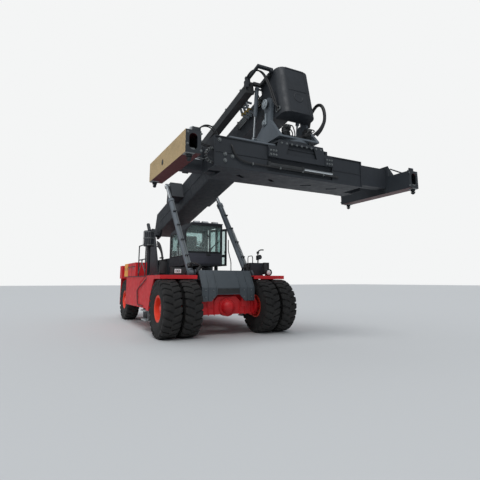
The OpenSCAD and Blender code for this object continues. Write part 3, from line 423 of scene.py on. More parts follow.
def mix(material, factor, a, b):
    """Colour b laid over a by a factor: a (1 - factor) + b factor."""
    return add_node(material, "ShaderNodeMix", {0: factor, 6: a, 7: b}, data_type="RGBA").outputs[2]


def noise(material, place, scale, detail=4.0, rough=0.55, stretch=None):
    """Noise at a scale per metre, drawn out by stretch."""
    if stretch:
        place = add_node(material, "ShaderNodeMapping", {"Vector": place, "Scale": stretch}).outputs["Vector"]
    inputs = {"Vector": place, "Scale": scale, "Detail": detail, "Roughness": rough}
    return add_node(material, "ShaderNodeTexNoise", inputs).outputs["Fac"]


def maths(material, operation, *values, **settings):
    """What a math node makes of its values."""
    inputs = dict(enumerate(values))
    return add_node(material, "ShaderNodeMath", inputs, operation=operation, **settings).outputs[0]


def remap(material, value, target, source=(0.0, 1.0)):
    """A value carried in proportion from one range to another, and kept inside it."""
    inputs = {"Value": value, "From Min": source[0], "From Max": source[1], "To Min": target[0],
              "To Max": target[1]}
    return add_node(material, "ShaderNodeMapRange", inputs).outputs["Result"]


def bump(material, height, strength, distance):
    """The surface's direction, bent by the slope of a height."""
    inputs = {"Height": height, "Strength": strength, "Distance": distance}
    return add_node(material, "ShaderNodeBump", inputs).outputs["Normal"]


def axes(material, vector):
    """The X, Y and Z of a vector."""
    return add_node(material, "ShaderNodeSeparateXYZ", {"Vector": vector}).outputs


def normal_axes(material):
    """The X, Y and Z of the face's direction on the object, which stays with the object at every pose."""
    return axes(material, add_node(material, "ShaderNodeTexCoord").outputs["Normal"])


def dusty(material, place, colour, dust, low, high):
    """Dust over a colour, and its share: (near + lies) times patches of noise. Near falls from its low
    share at the ground to none at 2.2 m; lies rises to its high share where a face looks up."""
    near = remap(material, axes(material, place)["Z"], (0.0, low), (2.2, 0.0))
    lies = remap(material, normal_axes(material)["Z"], (0.0, high), (0.3, 1.0))
    patch = ramp(material, noise(material, place, 3.1, 6.0, 0.6), [(0.35, grey(0.15)), (0.7, grey(1.0))])
    share = maths(material, "MULTIPLY", maths(material, "ADD", near, lies), patch, use_clamp=True)
    return mix(material, share, colour, srgb(dust)), share


def painted_steel(name, colour, rough, low, high=0.3, coat=0.04):
    """Sprayed paint on steel plate: slow changes of tone, fine orange peel, small chips, and dust."""
    material, shader, place = new_material(name)
    base = srgb(colour) if isinstance(colour, str) else (*colour, 1.0)
    pale, deep = shade(base, 1.12, 0.002), shade(base, 0.88)
    # Uneven fading in patches of about a metre, so that a plate isn't one flat tone
    tone = ramp(material, noise(material, place, 1.3, 5.0, 0.6), [(0.3, deep), (0.7, pale)])
    # Small chips and scuffs of a few millimetres, darker than the paint
    chip = ramp(material, noise(material, place, 46.0, 3.0, 0.7), [(0.735, grey(0.0)), (0.76, grey(1.0))])
    worn = mix(material, chip, tone, shade(base, 0.45, 0.02))
    # Rain streaks that run down the plates
    runs = noise(material, place, 1.0, 3.0, 0.5, (9.0, 9.0, 0.9))
    streak = ramp(material, runs, [(0.48, grey(0.0)), (0.75, grey(0.22))])
    seen, dirt = dusty(material, place, mix(material, streak, worn, deep), PAINT_DUST, low, high)
    gloss = remap(material, noise(material, place, 7.0, 5.0), (rough - 0.08, rough + 0.12), (0.3, 0.75))
    peel = bump(material, noise(material, place, 160.0, 2.0), 0.1, 0.002)
    edge = add_node(material, "ShaderNodeBevel", {"Radius": EDGE_RADIUS, "Normal": peel}, samples=4)
    feed(material, shader,
         {"Base Color": seen, "Roughness": maths(material, "MULTIPLY_ADD", dirt, 0.4, gloss),
          "Normal": edge.outputs["Normal"], "IOR": CLEAR_IOR, "Coat Weight": coat, "Coat Roughness": 0.15})
    return material


def tread_plate(name, colour):
    """Rolled tread plate under dark paint: on faces that look up, raised lugs in a crossed pattern, drawn
    60 mm apart instead of 25 so that they show, with bare tops where boots rub them."""
    material, shader, place = new_material(name)
    level = maths(material, "GREATER_THAN", normal_axes(material)["Z"], 0.9)
    lugs = []
    for angle in (45, -45):
        across = add_node(material, "ShaderNodeMapping",
                          {"Vector": place, "Rotation": (0, 0, radians(angle))})
        inputs = {"Vector": across.outputs["Vector"], "Scale": 5.3, "Distortion": 0.0}
        lugs.append(add_node(material, "ShaderNodeTexWave", inputs, bands_direction="X").outputs["Fac"])
    crossed = ramp(material, maths(material, "MULTIPLY", *lugs), [(0.45, grey(0.0)), (0.65, grey(1.0))])
    raised = maths(material, "MULTIPLY", crossed, level)
    tone = ramp(material, noise(material, place, 1.7, 5.0, 0.6),
                [(0.3, (*colour, 1.0)), (0.7, shade(colour, 1.4, 0.004))])
    rubbed = maths(material, "MULTIPLY", raised, noise(material, place, 2.3))
    seen, dirt = dusty(material, place, mix(material, rubbed, tone, srgb("#6f7476")), PAINT_DUST, 0.03, 0.12)
    feed(material, shader, {"Base Color": seen, "Roughness": maths(material, "MULTIPLY_ADD", dirt, 0.4, 0.5),
                            "Normal": bump(material, raised, 0.5, 0.004), "IOR": CLEAR_IOR})
    return material


def bare_metal(name, colour, rough, grain=(30.0, 30.0, 30.0), height=0.1, metallic=1.0, dark=0.7):
    """Unpainted metal: a metallic base whose tone and gloss change with a grain drawn along the piece."""
    material, shader, place = new_material(name)
    fine = noise(material, place, 4.0, 5.0, 0.65, grain)
    tone = ramp(material, fine, [(0.3, shade(srgb(colour), dark)), (0.7, srgb(colour))])
    gloss = remap(material, fine, (rough * 0.7, min(1.0, rough * 1.5)), (0.3, 0.7))
    feed(material, shader, {"Base Color": tone, "Roughness": gloss, "Metallic": metallic,
                            "Normal": bump(material, fine, height, 0.001)})
    return material


def moulded(name, colour, rough, low, high, height=0.15, scale=220.0):
    """Moulded rubber or plastic: a fine pebbled skin, slightly paler where it is rubbed, with dust near
    the ground."""
    material, shader, place = new_material(name)
    base = srgb(colour)
    tone = ramp(material, noise(material, place, 5.0, 6.0, 0.6),
                [(0.35, base), (0.75, shade(base, 1.5, 0.01))])
    seen, dirt = dusty(material, place, tone, RUBBER_DUST, low, high)
    feed(material, shader,
         {"Base Color": seen, "Roughness": maths(material, "MULTIPLY_ADD", dirt, 0.3, rough),
          "Normal": bump(material, noise(material, place, scale, 3.0), height, 0.002), "IOR": CLEAR_IOR})
    return material


def window_glass(name, colour):
    """Tinted toughened glass: clear and smooth, with a faint film of dust in soft patches."""
    material, shader, place = new_material(name)
    film = ramp(material, noise(material, place, 2.2, 5.0), [(0.4, grey(0.02)), (0.8, grey(0.16))])
    feed(material, shader, {"Base Color": srgb(colour), "Transmission Weight": 0.9, "Roughness": film,
                            "IOR": CLEAR_IOR})
    return material


def lens_glass(name, colour):
    """Pressed lamp glass: upright flutes over a bright reflector, seen as a glossy coat on a pale base."""
    material, shader, place = new_material(name)
    inputs = {"Vector": place, "Scale": 40.0, "Distortion": 0.3}
    flutes = add_node(material, "ShaderNodeTexWave", inputs, bands_direction="X").outputs["Fac"]
    tone = ramp(material, flutes, [(0.2, shade(srgb(colour), 0.75)), (0.8, srgb(colour))])
    feed(material, shader, {"Base Color": tone, "Roughness": 0.12, "Coat Weight": 0.6, "IOR": CLEAR_IOR,
                            "Normal": bump(material, flutes, 0.4, 0.002)})
    return material


def galvanised(name, colour):
    """Hot-dip galvanised steel: crystals of about 15 mm, each with its own tone, on a dull metal."""
    material, shader, place = new_material(name)
    cells = add_node(material, "ShaderNodeTexVoronoi", {"Vector": place, "Scale": 65.0}).outputs["Color"]
    share = add_node(material, "ShaderNodeSeparateColor", {"Color": cells}).outputs["Red"]
    feed(material, shader, {"Base Color": mix(material, share, shade(srgb(colour), 0.75), srgb(colour)),
                            "Roughness": remap(material, noise(material, place, 30.0), (0.35, 0.6)),
                            "Metallic": 0.85})
    return material


def end_paint(name, outer, under, inner):
    """Sprayed paint of an end beam: one colour on the face that looks outwards, with a hatch of slanting
    scuffed bands, one on the underside and one elsewhere."""
    material, shader, place = new_material(name)
    normal, spot = normal_axes(material), axes(material, place)
    # Outward: the normal along X has the sign of the place along X
    out = maths(material, "MULTIPLY", normal["X"], spot["X"])
    faces_out = maths(material, "GREATER_THAN", out, 2.95)
    below = maths(material, "LESS_THAN", normal["Z"], -0.5)
    # Bands slant by 0.8 of the height and sway with noise; each is 40 mm to its turning line
    sway = maths(material, "MULTIPLY_ADD", noise(material, place, 2.0), 0.05, spot["Y"])
    slant = maths(material, "MULTIPLY_ADD", spot["Z"], 0.8, sway)
    hatch = ramp(material, maths(material, "PINGPONG", slant, 0.04), [(0.012, grey(1.0)), (0.02, grey(0.0))])
    blotch = ramp(material, noise(material, place, 4.0, 6.0, 0.65),
                  [(0.35, srgb(outer)), (0.75, shade(srgb(outer), 0.72))])
    dark = ramp(material, noise(material, place, 1.6, 5.0),
                [(0.3, srgb(inner)), (0.75, shade(srgb(inner), 1.3, 0.004))])
    rest = mix(material, below, dark, srgb(under))
    edge = add_node(material, "ShaderNodeBevel", {"Radius": EDGE_RADIUS}, samples=4)
    feed(material, shader,
         {"Base Color": mix(material, faces_out, rest, mix(material, hatch, blotch, srgb("#8f7a55"))),
          "Roughness": remap(material, noise(material, place, 9.0, 5.0), (0.35, 0.65)),
          "Normal": edge.outputs["Normal"]})
    return material


FINISHES = {}


def node_material(node, finish):
    """Gives a CAD node one finish in all its slots."""
    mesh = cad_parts[node].data
    mesh.materials.clear()
    mesh.materials.append(finish)
    mesh.polygons.foreach_set("material_index", np.zeros(len(mesh.polygons), np.int32))


# Each finish, and the CAD nodes that it covers
NODE_FINISHES = {
    # The front cowl gets a lighter grey than the graphite paint: a painted reflection of the sky
    "cowl": ["front_cowl"],
    "dark": ["boom_tower", "engine_hood", "steer_axle", "handrails", "cab_shell", "cab_door",
             "knuckle_right", "knuckle_left", "outer_boom", "inner_boom", "boom_head", "turning_frame",
             "main_spreader", "beam_right", "beam_left", "hose_guide", "exhaust_stack"],
    "red": ["chassis_frame", "counterweight", "drive_axle", "fenders", "side_tanks"],
    "rim": ["drive_rims_right", "drive_rims_left", "steer_rim_right", "steer_rim_left"],
    "tan": ["end_beam_right", "end_beam_left"],
    "grey": ["lift_barrels", "head_hanger", "damper_barrels", "spreader_cylinders"],
    "iron": ["engine_block", "twistlocks_right", "twistlocks_left"],
    "chrome": ["lift_rods", "damper_rods", "shift_rod", "end_rod_right", "end_rod_left"],
    "rubber": ["drive_tyres_right", "drive_tyres_left", "steer_tyre_right", "steer_tyre_left"],
    "glass": ["cab_windows"],
    "plastic": ["mirrors", "hose_carrier", "slew_drives", "head_lamps"],
    "vinyl": ["operator_place"],
    "step": ["side_steps"],
    "box": ["deck_box"],
    "tread": ["deck_plates"],
}


class PaintSettings(bpy.types.PropertyGroup):
    """Colours of the paints."""
    dark: FloatVectorProperty(name="Graphite Paint", description="Colour of the boom, cab and spreader",
                              subtype="COLOR", size=3, min=0, max=1, default=srgb("#22272d")[:3])
    red: FloatVectorProperty(name="Red Paint", description="Colour of the chassis, fenders and tanks",
                             subtype="COLOR", size=3, min=0, max=1, default=srgb("#ca121b")[:3])
    rim: FloatVectorProperty(name="Rim Paint", description="Colour of the rims",
                             subtype="COLOR", size=3, min=0, max=1, default=srgb("#f2452a")[:3])


class SizeSettings(bpy.types.PropertyGroup):
    """Numbers and sizes of the fittings."""
    lugs: IntProperty(name="Tyre Lugs", description="Lugs on each side of a tyre", default=24, min=12, max=40)
    nuts: IntProperty(name="Wheel Nuts", description="Nuts in the ring of a rim", default=16, min=6, max=24)
    hose: FloatProperty(name="Hose Radius", description="Radius of the hydraulic hoses", default=0.019,
                        min=0.01, max=0.03, unit="LENGTH")


# The camera, fitted to the photo: its place from the drive axle, its angles in degrees, lens and shift,
# and the far ends of its view and of the floor in metres
CAMERA_AT = (-5.22, -11.0, 1.58)
CAMERA_PITCH, CAMERA_YAW = 9.86, -27.59
CAMERA_LENS, CAMERA_SHIFT = 29.25, -0.0552
CLIP_END, FLOOR_HALF = 500, 150.0
# Strengths of the sky overhead, of the backdrop that the camera sees, and of what reflections show of it
ZENITH, BACKDROP, REFLECTED = 0.84, 1.0, 0.3
# Lamps: name, angles in degrees, strength, and how wide the light is in degrees
LAMPS = (("key_light", (38, 0, -24), 1.7, 30), ("fill_light", (55, 0, -95), 0.45, 50))


class STACKER_OT_stage(bpy.types.Operator):
    """Set up the camera, the lamps, the world and the pale floor"""
    bl_idname = "stacker.stage"
    bl_label = "Camera, Floor and Light"

    def execute(self, context):
        scene = context.scene
        scene.view_settings.view_transform = "Standard"
        data = bpy.data.cameras.new("Camera")
        data.lens, data.shift_y, data.clip_end = CAMERA_LENS, CAMERA_SHIFT, CLIP_END
        camera = bpy.data.objects.new("Camera", data)
        camera.location = (CAMERA_AT[0], AXLE_Y + CAMERA_AT[1], CAMERA_AT[2])
        camera.rotation_euler = (radians(90 + CAMERA_PITCH), 0, radians(CAMERA_YAW))
        scene.collection.objects.link(camera)
        scene.camera = camera

        u, v = np.meshgrid(*2 * [np.linspace(-FLOOR_HALF, FLOOR_HALF, 3)])
        mesh = bpy.data.meshes.new("floor")
        points = np.stack([u.ravel(), v.ravel(), np.zeros(9)], -1)
        mesh.from_pydata(points.tolist(), [], [[k, k + 1, k + 4, k + 3] for k in (0, 1, 3, 4)])
        floor = bpy.data.objects.new("floor", mesh)
        material, shader, _ = new_material("studio_floor")
        feed(material, shader, {"Base Color": srgb("#c0c2c3"), "Roughness": 0.9})
        mesh.materials.append(material)
        scene.collection.objects.link(floor)

        world = bpy.data.worlds.new("studio")
        world.use_nodes = True
        world.node_tree.nodes.clear()
        # An overcast sky is three times as bright overhead as at the horizon: (1 + 2 sin(elevation)) / 3
        height = axes(world, add_node(world, "ShaderNodeTexCoord").outputs["Generated"])["Z"]
        overcast = maths(world, "MULTIPLY_ADD", maths(world, "MAXIMUM", height, 0.0), ZENITH * 2 / 3,
                         ZENITH / 3)
        sky, flags, seen = (
            add_node(world, "ShaderNodeBackground", {"Color": srgb(colour), "Strength": strength}).outputs[0]
            for colour, strength in (("#e9eef4", overcast), ("#e9eef4", REFLECTED), ("#f4f5f5", BACKDROP)))
        ray = add_node(world, "ShaderNodeLightPath").outputs
        sharp = maths(world, "MAXIMUM", ray["Is Camera Ray"], ray["Is Transmission Ray"])
        # Reflections show the backdrop at less than half its strength, so that dark paint keeps its depth
        light = add_node(world, "ShaderNodeMixShader", {0: ray["Is Glossy Ray"], 1: sky, 2: flags}).outputs[0]
        both = add_node(world, "ShaderNodeMixShader", {0: sharp, 1: light, 2: seen}).outputs[0]
        add_node(world, "ShaderNodeOutputWorld", {"Surface": both})
        scene.world = world

        for name, angles, strength, spread in LAMPS:
            lamp = bpy.data.lights.new(name, "SUN")
            lamp.energy, lamp.angle = strength, radians(spread)
            lamp_object = bpy.data.objects.new(name, lamp)
            lamp_object.rotation_euler = [radians(a) for a in angles]
            scene.collection.objects.link(lamp_object)
        return {"FINISHED"}


class STACKER_OT_finishes(bpy.types.Operator):
    """Make the finishes and put them on the CAD nodes"""
    bl_idname = "stacker.finishes"
    bl_label = "Finishes"

    def execute(self, context):
        paint = context.scene.stacker_paint
        FINISHES.update(
            dark=painted_steel("graphite_sprayed_steel", paint.dark, 0.56, 0.03, 0.03, 0.0),
            red=painted_steel("red_sprayed_steel", paint.red, 0.5, 0.02, 0.06, 0.0),
            rim=painted_steel("orange_red_sprayed_rim", paint.rim, 0.4, 0.1, 0.2),
            tan=end_paint("tan_and_graphite_sprayed_steel", "#dabd8d", "#481a1d", "#23282d"),
            # The front cowl is graphite like the rest; this lighter grey is a painted reflection of the sky
            # on its upper plate
            cowl=painted_steel("graphite_steel_with_painted_sky_reflection", "#485056", 0.5, 0.03, 0.05, 0.0),
            grey=painted_steel("grey_sprayed_steel", "#596168", 0.4, 0.06, 0.1),
            pale=painted_steel("light_grey_sprayed_steel", "#8b9499", 0.4, 0.1, 0.16),
            box=painted_steel("amber_sprayed_steel", "#f2a636", 0.42, 0.1),
            iron=bare_metal("sand_cast_iron", "#44484b", 0.6, height=0.5),
            zinc=bare_metal("zinc_plated_steel", "#8f9495", 0.42, metallic=0.9),
            brass=bare_metal("yellow_chromated_steel", "#b39c5a", 0.35, metallic=0.9),
            chrome=bare_metal("hard_chromed_rod", "#d5dadd", 0.12, (60.0, 60.0, 2.0), 0.02, dark=0.9),
            rubber=moulded("moulded_tyre_rubber", "#09090b", 0.78, 0.1, 0.05),
            hose=moulded("extruded_hose_rubber", "#17181a", 0.55, 0.0, 0.1, 0.3, 500.0),
            plastic=moulded("moulded_black_plastic", "#202325", 0.5, 0.1, 0.14),
            panel=painted_steel("violet_grey_sprayed_steel", "#3d3f49", 0.45, 0.03, 0.04),
            vinyl=moulded("grained_seat_vinyl", "#26292b", 0.55, 0.0, 0.1, 0.3, 140.0),
            tread=tread_plate("dark_sprayed_tread_plate", paint.dark),
            glass=window_glass("tinted_toughened_glass", "#d3e6e4"),
            pressed=lens_glass("pressed_lens_glass", "#eef2f3"),
            ruby=lens_glass("moulded_red_lens", "#a3161a"),
            mirror=bare_metal("silvered_mirror_glass", "#e6eaec", 0.04, height=0.01, dark=0.95),
            step=galvanised("galvanised_tread_steel", "#b9bec0"),
            lens=moulded("moulded_lamp_housing", "#dfe3e4", 0.3, 0.05, 0.1, 0.05),
        )
        for finish, nodes in NODE_FINISHES.items():
            for node in nodes:
                node_material(node, FINISHES[finish])
        return {"FINISHED"}


def wheel_face(face_x, edge_x, hub_x, nuts):
    """What shows on the outside of a right-hand rim: a dished ring from the disc to the rim's edge, a
    rolled lip and a hub cap, as (radius, distance) profiles turned about X, with nuts in a ring and a
    valve."""
    face, edge, hub = -face_x, -edge_x, -hub_x
    dish = ring_of([(0.3, face - 0.004), (0.3, face + 0.012), (0.325, edge - 0.03), (0.345, edge - 0.012),
                    (0.345, edge - 0.05), (0.322, face - 0.004)], 64)
    lip = ring_of([(0.335, edge - 0.02), (0.335, edge + 0.008), (0.352, edge + 0.016), (0.376, edge + 0.01),
                   (0.38, edge - 0.006), (0.356, edge - 0.014)], 64)
    cap = turned([(0.149, hub - 0.02), (0.149, hub + 0.004), (0.13, hub + 0.014), (0.1, hub + 0.014),
                  (0.095, hub + 0.026), (0.05, hub + 0.032)], 48)
    ring = bolts(ring_places((face_x, 0, 0), 0.235, nuts), (-1, 0, 0), 0.034)
    cover = bolts(ring_places((hub_x - 0.012, 0, 0), 0.115, 10), (-1, 0, 0), 0.018)
    valve = pipe([(face_x, 0.29, 0.02), (face_x - 0.04, 0.3, 0.02), (face_x - 0.07, 0.315, 0.02)], 0.007)
    return placed(join(dish, lip, cap), turn("Y", -np.pi / 2)), join(ring, cover, valve)


class STACKER_OT_wheels(bpy.types.Operator):
    """Build the treaded tyres and what shows on the rims"""
    bl_idname = "stacker.wheels"
    bl_label = "Wheels"

    def execute(self, context):
        sizes = context.scene.stacker_sizes
        one = tyre(sizes.lugs, TYRE_RADIUS, TYRE_WIDTH, RIM_RADIUS)
        drive, steer = (shift(0, y, TYRE_RADIUS) for y in (AXLE_Y, STEER_Y))
        # Wheels: name, body, place, and where the disc, the rim's edge and the hub's cap are along X
        wheels = (("drive", "drive_wheels", drive, (-1.86, -2.06, -1.97)),
                  ("steer", "steer_wheel", steer, (-1.56, -1.7, -1.67)))
        for side, sign in (("right", -1), ("left", 1)):
            pair = placed(one, drive @ shift(sign * INNER_TYRE_X, 0, 0),
                          drive @ shift(sign * OUTER_TYRE_X, 0, 0) @ turn("X", 0.1))
            tread = piece(f"drive_tread_{side}", pair, f"{side}_drive_wheels", "rubber")
            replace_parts(tread, f"drive_tyres_{side}")
            rear = placed(one, steer @ shift(sign * STEER_TYRE_X, 0, 0))
            tread = piece(f"steer_tread_{side}", rear, f"{side}_steer_wheel", "rubber")
            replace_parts(tread, f"steer_tyre_{side}")
            for name, body, place, stations in wheels:
                face, nuts = (f if sign < 0 else flipped(f) for f in wheel_face(*stations, sizes.nuts))
                piece(f"{name}_dish_{side}", placed(face, place), f"{side}_{body}", "rim")
                piece(f"{name}_nuts_{side}", placed(nuts, place), f"{side}_{body}", "zinc")
        return {"FINISHED"}


# On the spreader, from the head pin: the cylinder in a main box's recess, the hoses on the box's inner
# face, and the bowed hoses' radius as drawn and their diameter as cords
RECESS_Y, RECESS_Z = -0.53, 4.09 - HEAD_PIN[2]
HOSE_ON_BOX_Y = -0.152
BOW_RADIUS, BOW_DIAMETER = 0.0145, 0.028


def end_fittings(sign):
    """Castings, lamps and brackets of an end beam, drawn from the head pin, with sign -1 on the right."""
    low = SPREADER_LOW
    castings, lamps, dark = [], [], []
    for across in (-1, 1):
        castings.append(slab((sign * 2.84, across * 1.05, low - 0.012),
                             (sign * 3.026, across * 1.213, low + 0.1), 0.012))
        dark.append(blocks(((sign * 2.74, across * 1.19, low + 0.43),
                            (sign * 2.9, across * 1.21, low + 0.5)),
                           ((sign * 2.78, across * 1.02, low + 0.43),
                            (sign * 2.98, across * 1.16, low + 0.445)),
                           ease=0.005))
        lamps.append(turned([(0.03, 0), (0.062, 0.03), (0.066, 0.075), (0.058, 0.082), (0.052, 0.078)], 24,
                            (sign * 2.88, across * 1.09, low + 0.48), (0, across, -0.3)))
        dark.append(pipe([(sign * 2.88, across * 1.06, low + z) for z in (0.44, 0.5)], 0.012))
        # Bolts round the end frame
        spots = [(sign * x, across * 1.213, low + z)
                 for x in (2.73, 2.99) for z in (0.38, 0.06 if x < 2.8 else 0.16)]
        castings.append(bolts(spots, (0, across, 0), 0.03))
    # The hole in the outer face with its collar, its bottom and a pin in it
    out = (sign, 0, 0)
    dark.append(ring_of([(0.045, -0.01), (0.06, -0.008), (0.06, 0.005), (0.045, 0.006)], 28,
                        (sign * 3.03, 0.184, low + 0.19), out))
    dark.append(turned([(0.044, 0), (0.044, 0.003), (0.02, 0.004)], 28, (sign * 3.029, 0.184, low + 0.19),
                       out))
    castings.append(turned([(0.018, 0), (0.018, 0.006), (0.01, 0.008)], 20,
                           (sign * 3.0315, 0.178, low + 0.2), out))
    # Braces from the plate to the end beam
    for start_y, end_y in ((-0.62, -0.95), (0.22, 0.9)):
        dark.append(pipe([(sign * 2.77, start_y, low + 0.62), (sign * 2.86, end_y, low + 0.43)], 0.018))
    return join(*castings), join(*lamps), join(*dark)


class STACKER_OT_spreader(bpy.types.Operator):
    """Add the spreader's barrels, clamp bolts, corner castings, lamps and pipes"""
    bl_idname = "stacker.spreader"
    bl_label = "Spreader Fittings"

    def on_boxes(self, name, form, finish, slot=None, body="spreader"):
        """A piece on the near main box, and after half a turn about the head's upright on the far one."""
        return piece(name, placed(form, *AT_BOTH_BOXES), body, finish)

    def execute(self, context):
        low = SPREADER_LOW
        # Barrel and rod in the recess of each main box, with a foot at each end
        start, gland, end = ((x, RECESS_Y, RECESS_Z) for x in (-0.87, 0.04, 0.88))
        feet = blocks(*(((a, RECESS_Y - 0.03, RECESS_Z - 0.06), (b, RECESS_Y + 0.03, RECESS_Z + 0.06))
                        for a, b in ((-0.9, -0.84), (0.87, 0.92))))
        collar = turned([(0.052, 0), (0.052, 0.05), (0.03, 0.06)], 24, (0.0, RECESS_Y, RECESS_Z), (1, 0, 0))
        self.on_boxes("recess_barrels", join(pipe([start, gland], 0.044, 24), collar, feet), "plastic")
        self.on_boxes("recess_rods", pipe([gland, end], 0.036, 24), "chrome", "chrome")
        # Bolts on the clamps of the turning frame, two rows of three on each
        spots = [(x + dx, -0.58, z)
                 for x in (-0.9, 0.66) for dx in (0.05, 0.12, 0.19) for z in (-1.35, -1.445)]
        spots += [(x, -0.56, -1.13) for x in np.linspace(-0.55, 0.55, 9)]
        self.on_boxes("clamp_bolts", bolts(spots, (0, -1, 0), 0.034), "zinc", body="turntable")
        # Weld seams and stiffeners along the main boxes
        strips = blocks(((-2.15, -0.522, -1.56), (-0.9, -0.508, -1.545)),
                        ((0.95, -0.522, -1.56), (1.85, -0.508, -1.545)),
                        ((-2.17, -0.53, low + 0.06), (-2.148, -0.17, low + 0.71)),
                        ((1.82, -0.534, low + 0.06), (1.85, -0.508, low + 0.71)), ease=0.003)
        self.on_boxes("box_strips", strips, "dark", "dark_paint")
        # Hoses clipped along the boxes' inner faces, and two that hang in a bow past the box's end
        lines = join(*(bent_pipe([(x, HOSE_ON_BOX_Y, z - drop) for x, drop in
                                       ((-1.9, 0), (-1.0, 0), (-0.9, 0.05), (0.3, 0.05))], 0.06, 0.014)
                       for z in (-1.35, -1.39, -1.43)))
        for number, (out, top, y) in enumerate(((-2.52, -0.99, -0.38), (-2.525, -0.985, -0.3))):
            # The route leaves the box's top straight up, bows outwards and comes back to its end plate
            route = smooth_path([(-2.05, y, -1.2), (-2.055, y, -1.1), (-2.18, y, top),
                                 (-2.36, y - 0.01, top - 0.02), (out, y - 0.02, top - 0.2),
                                 (out + 0.05, y - 0.01, top - 0.36), (-2.3, y, top - 0.42),
                                 (-2.19, y, top - 0.42)],
                                4)
            bow = piece(f"box_bow_{number}", placed(pipe(route, BOW_RADIUS, 12), AT_PIN), "spreader", "hose")
        self.on_boxes("box_hoses", lines, "hose")
        # Ribbed hose that loops at the box's end, the hose under the recess, its clamps and the end bolts
        loop = smooth_path([(-2.17, -0.47, -1.5), (-2.26, -0.5, -1.52), (-2.34, -0.52, -1.6),
                            (-2.35, -0.52, -1.7), (-2.28, -0.5, -1.78), (-2.17, -0.47, -1.8)],
                           6)
        under = smooth_path([(-1.78, -0.5, -1.36), (-1.77, -0.545, -1.42), (-1.7, -0.55, -1.58),
                             (-1.5, -0.545, -1.69), (-1.0, -0.54, -1.715), (0.9, -0.54, -1.72),
                             (1.0, -0.5, -1.72)],
                            8)
        self.on_boxes("box_loops", join(pipe(loop, 0.024, 12), pipe(under, 0.018, 10)), "hose")
        ways = np.diff(loop, axis=0)
        rib = [(0.022, -0.006), (0.034, -0.005), (0.034, 0.005), (0.022, 0.006)]
        ends = [(-1.92, -0.51, -1.585), (-1.92, -0.51, -1.725), (-1.75, -0.51, -1.615), (-2.05, -0.51, -1.3)]
        clips = join(*(ring_of(rib, 20, loop[k], ways[k]) for k in range(2, len(loop) - 2, 3)),
                     blocks(*(((x, -0.565, -1.745), (x + 0.03, -0.508, -1.69))
                              for x in (-1.3, -0.6, 0.0, 0.6))),
                     bolts(ends, (0, -1, 0), 0.055))
        self.on_boxes("box_clips", clips, "zinc")
        for side, sign in (("right", -1), ("left", 1)):
            castings, lamps, dark = (placed(form, AT_PIN) for form in end_fittings(sign))
            piece(f"corner_castings_{side}", castings, f"{side}_end", "zinc")
            piece(f"end_lamps_{side}", lamps, f"{side}_end", "lens")
            piece(f"end_brackets_{side}", dark, f"{side}_end", "dark")
        return {"FINISHED"}


# The slew motors' feet, from the head pin
MOTOR_X, MOTOR_Y, MOTOR_Z = 0.3, -0.36, -0.9


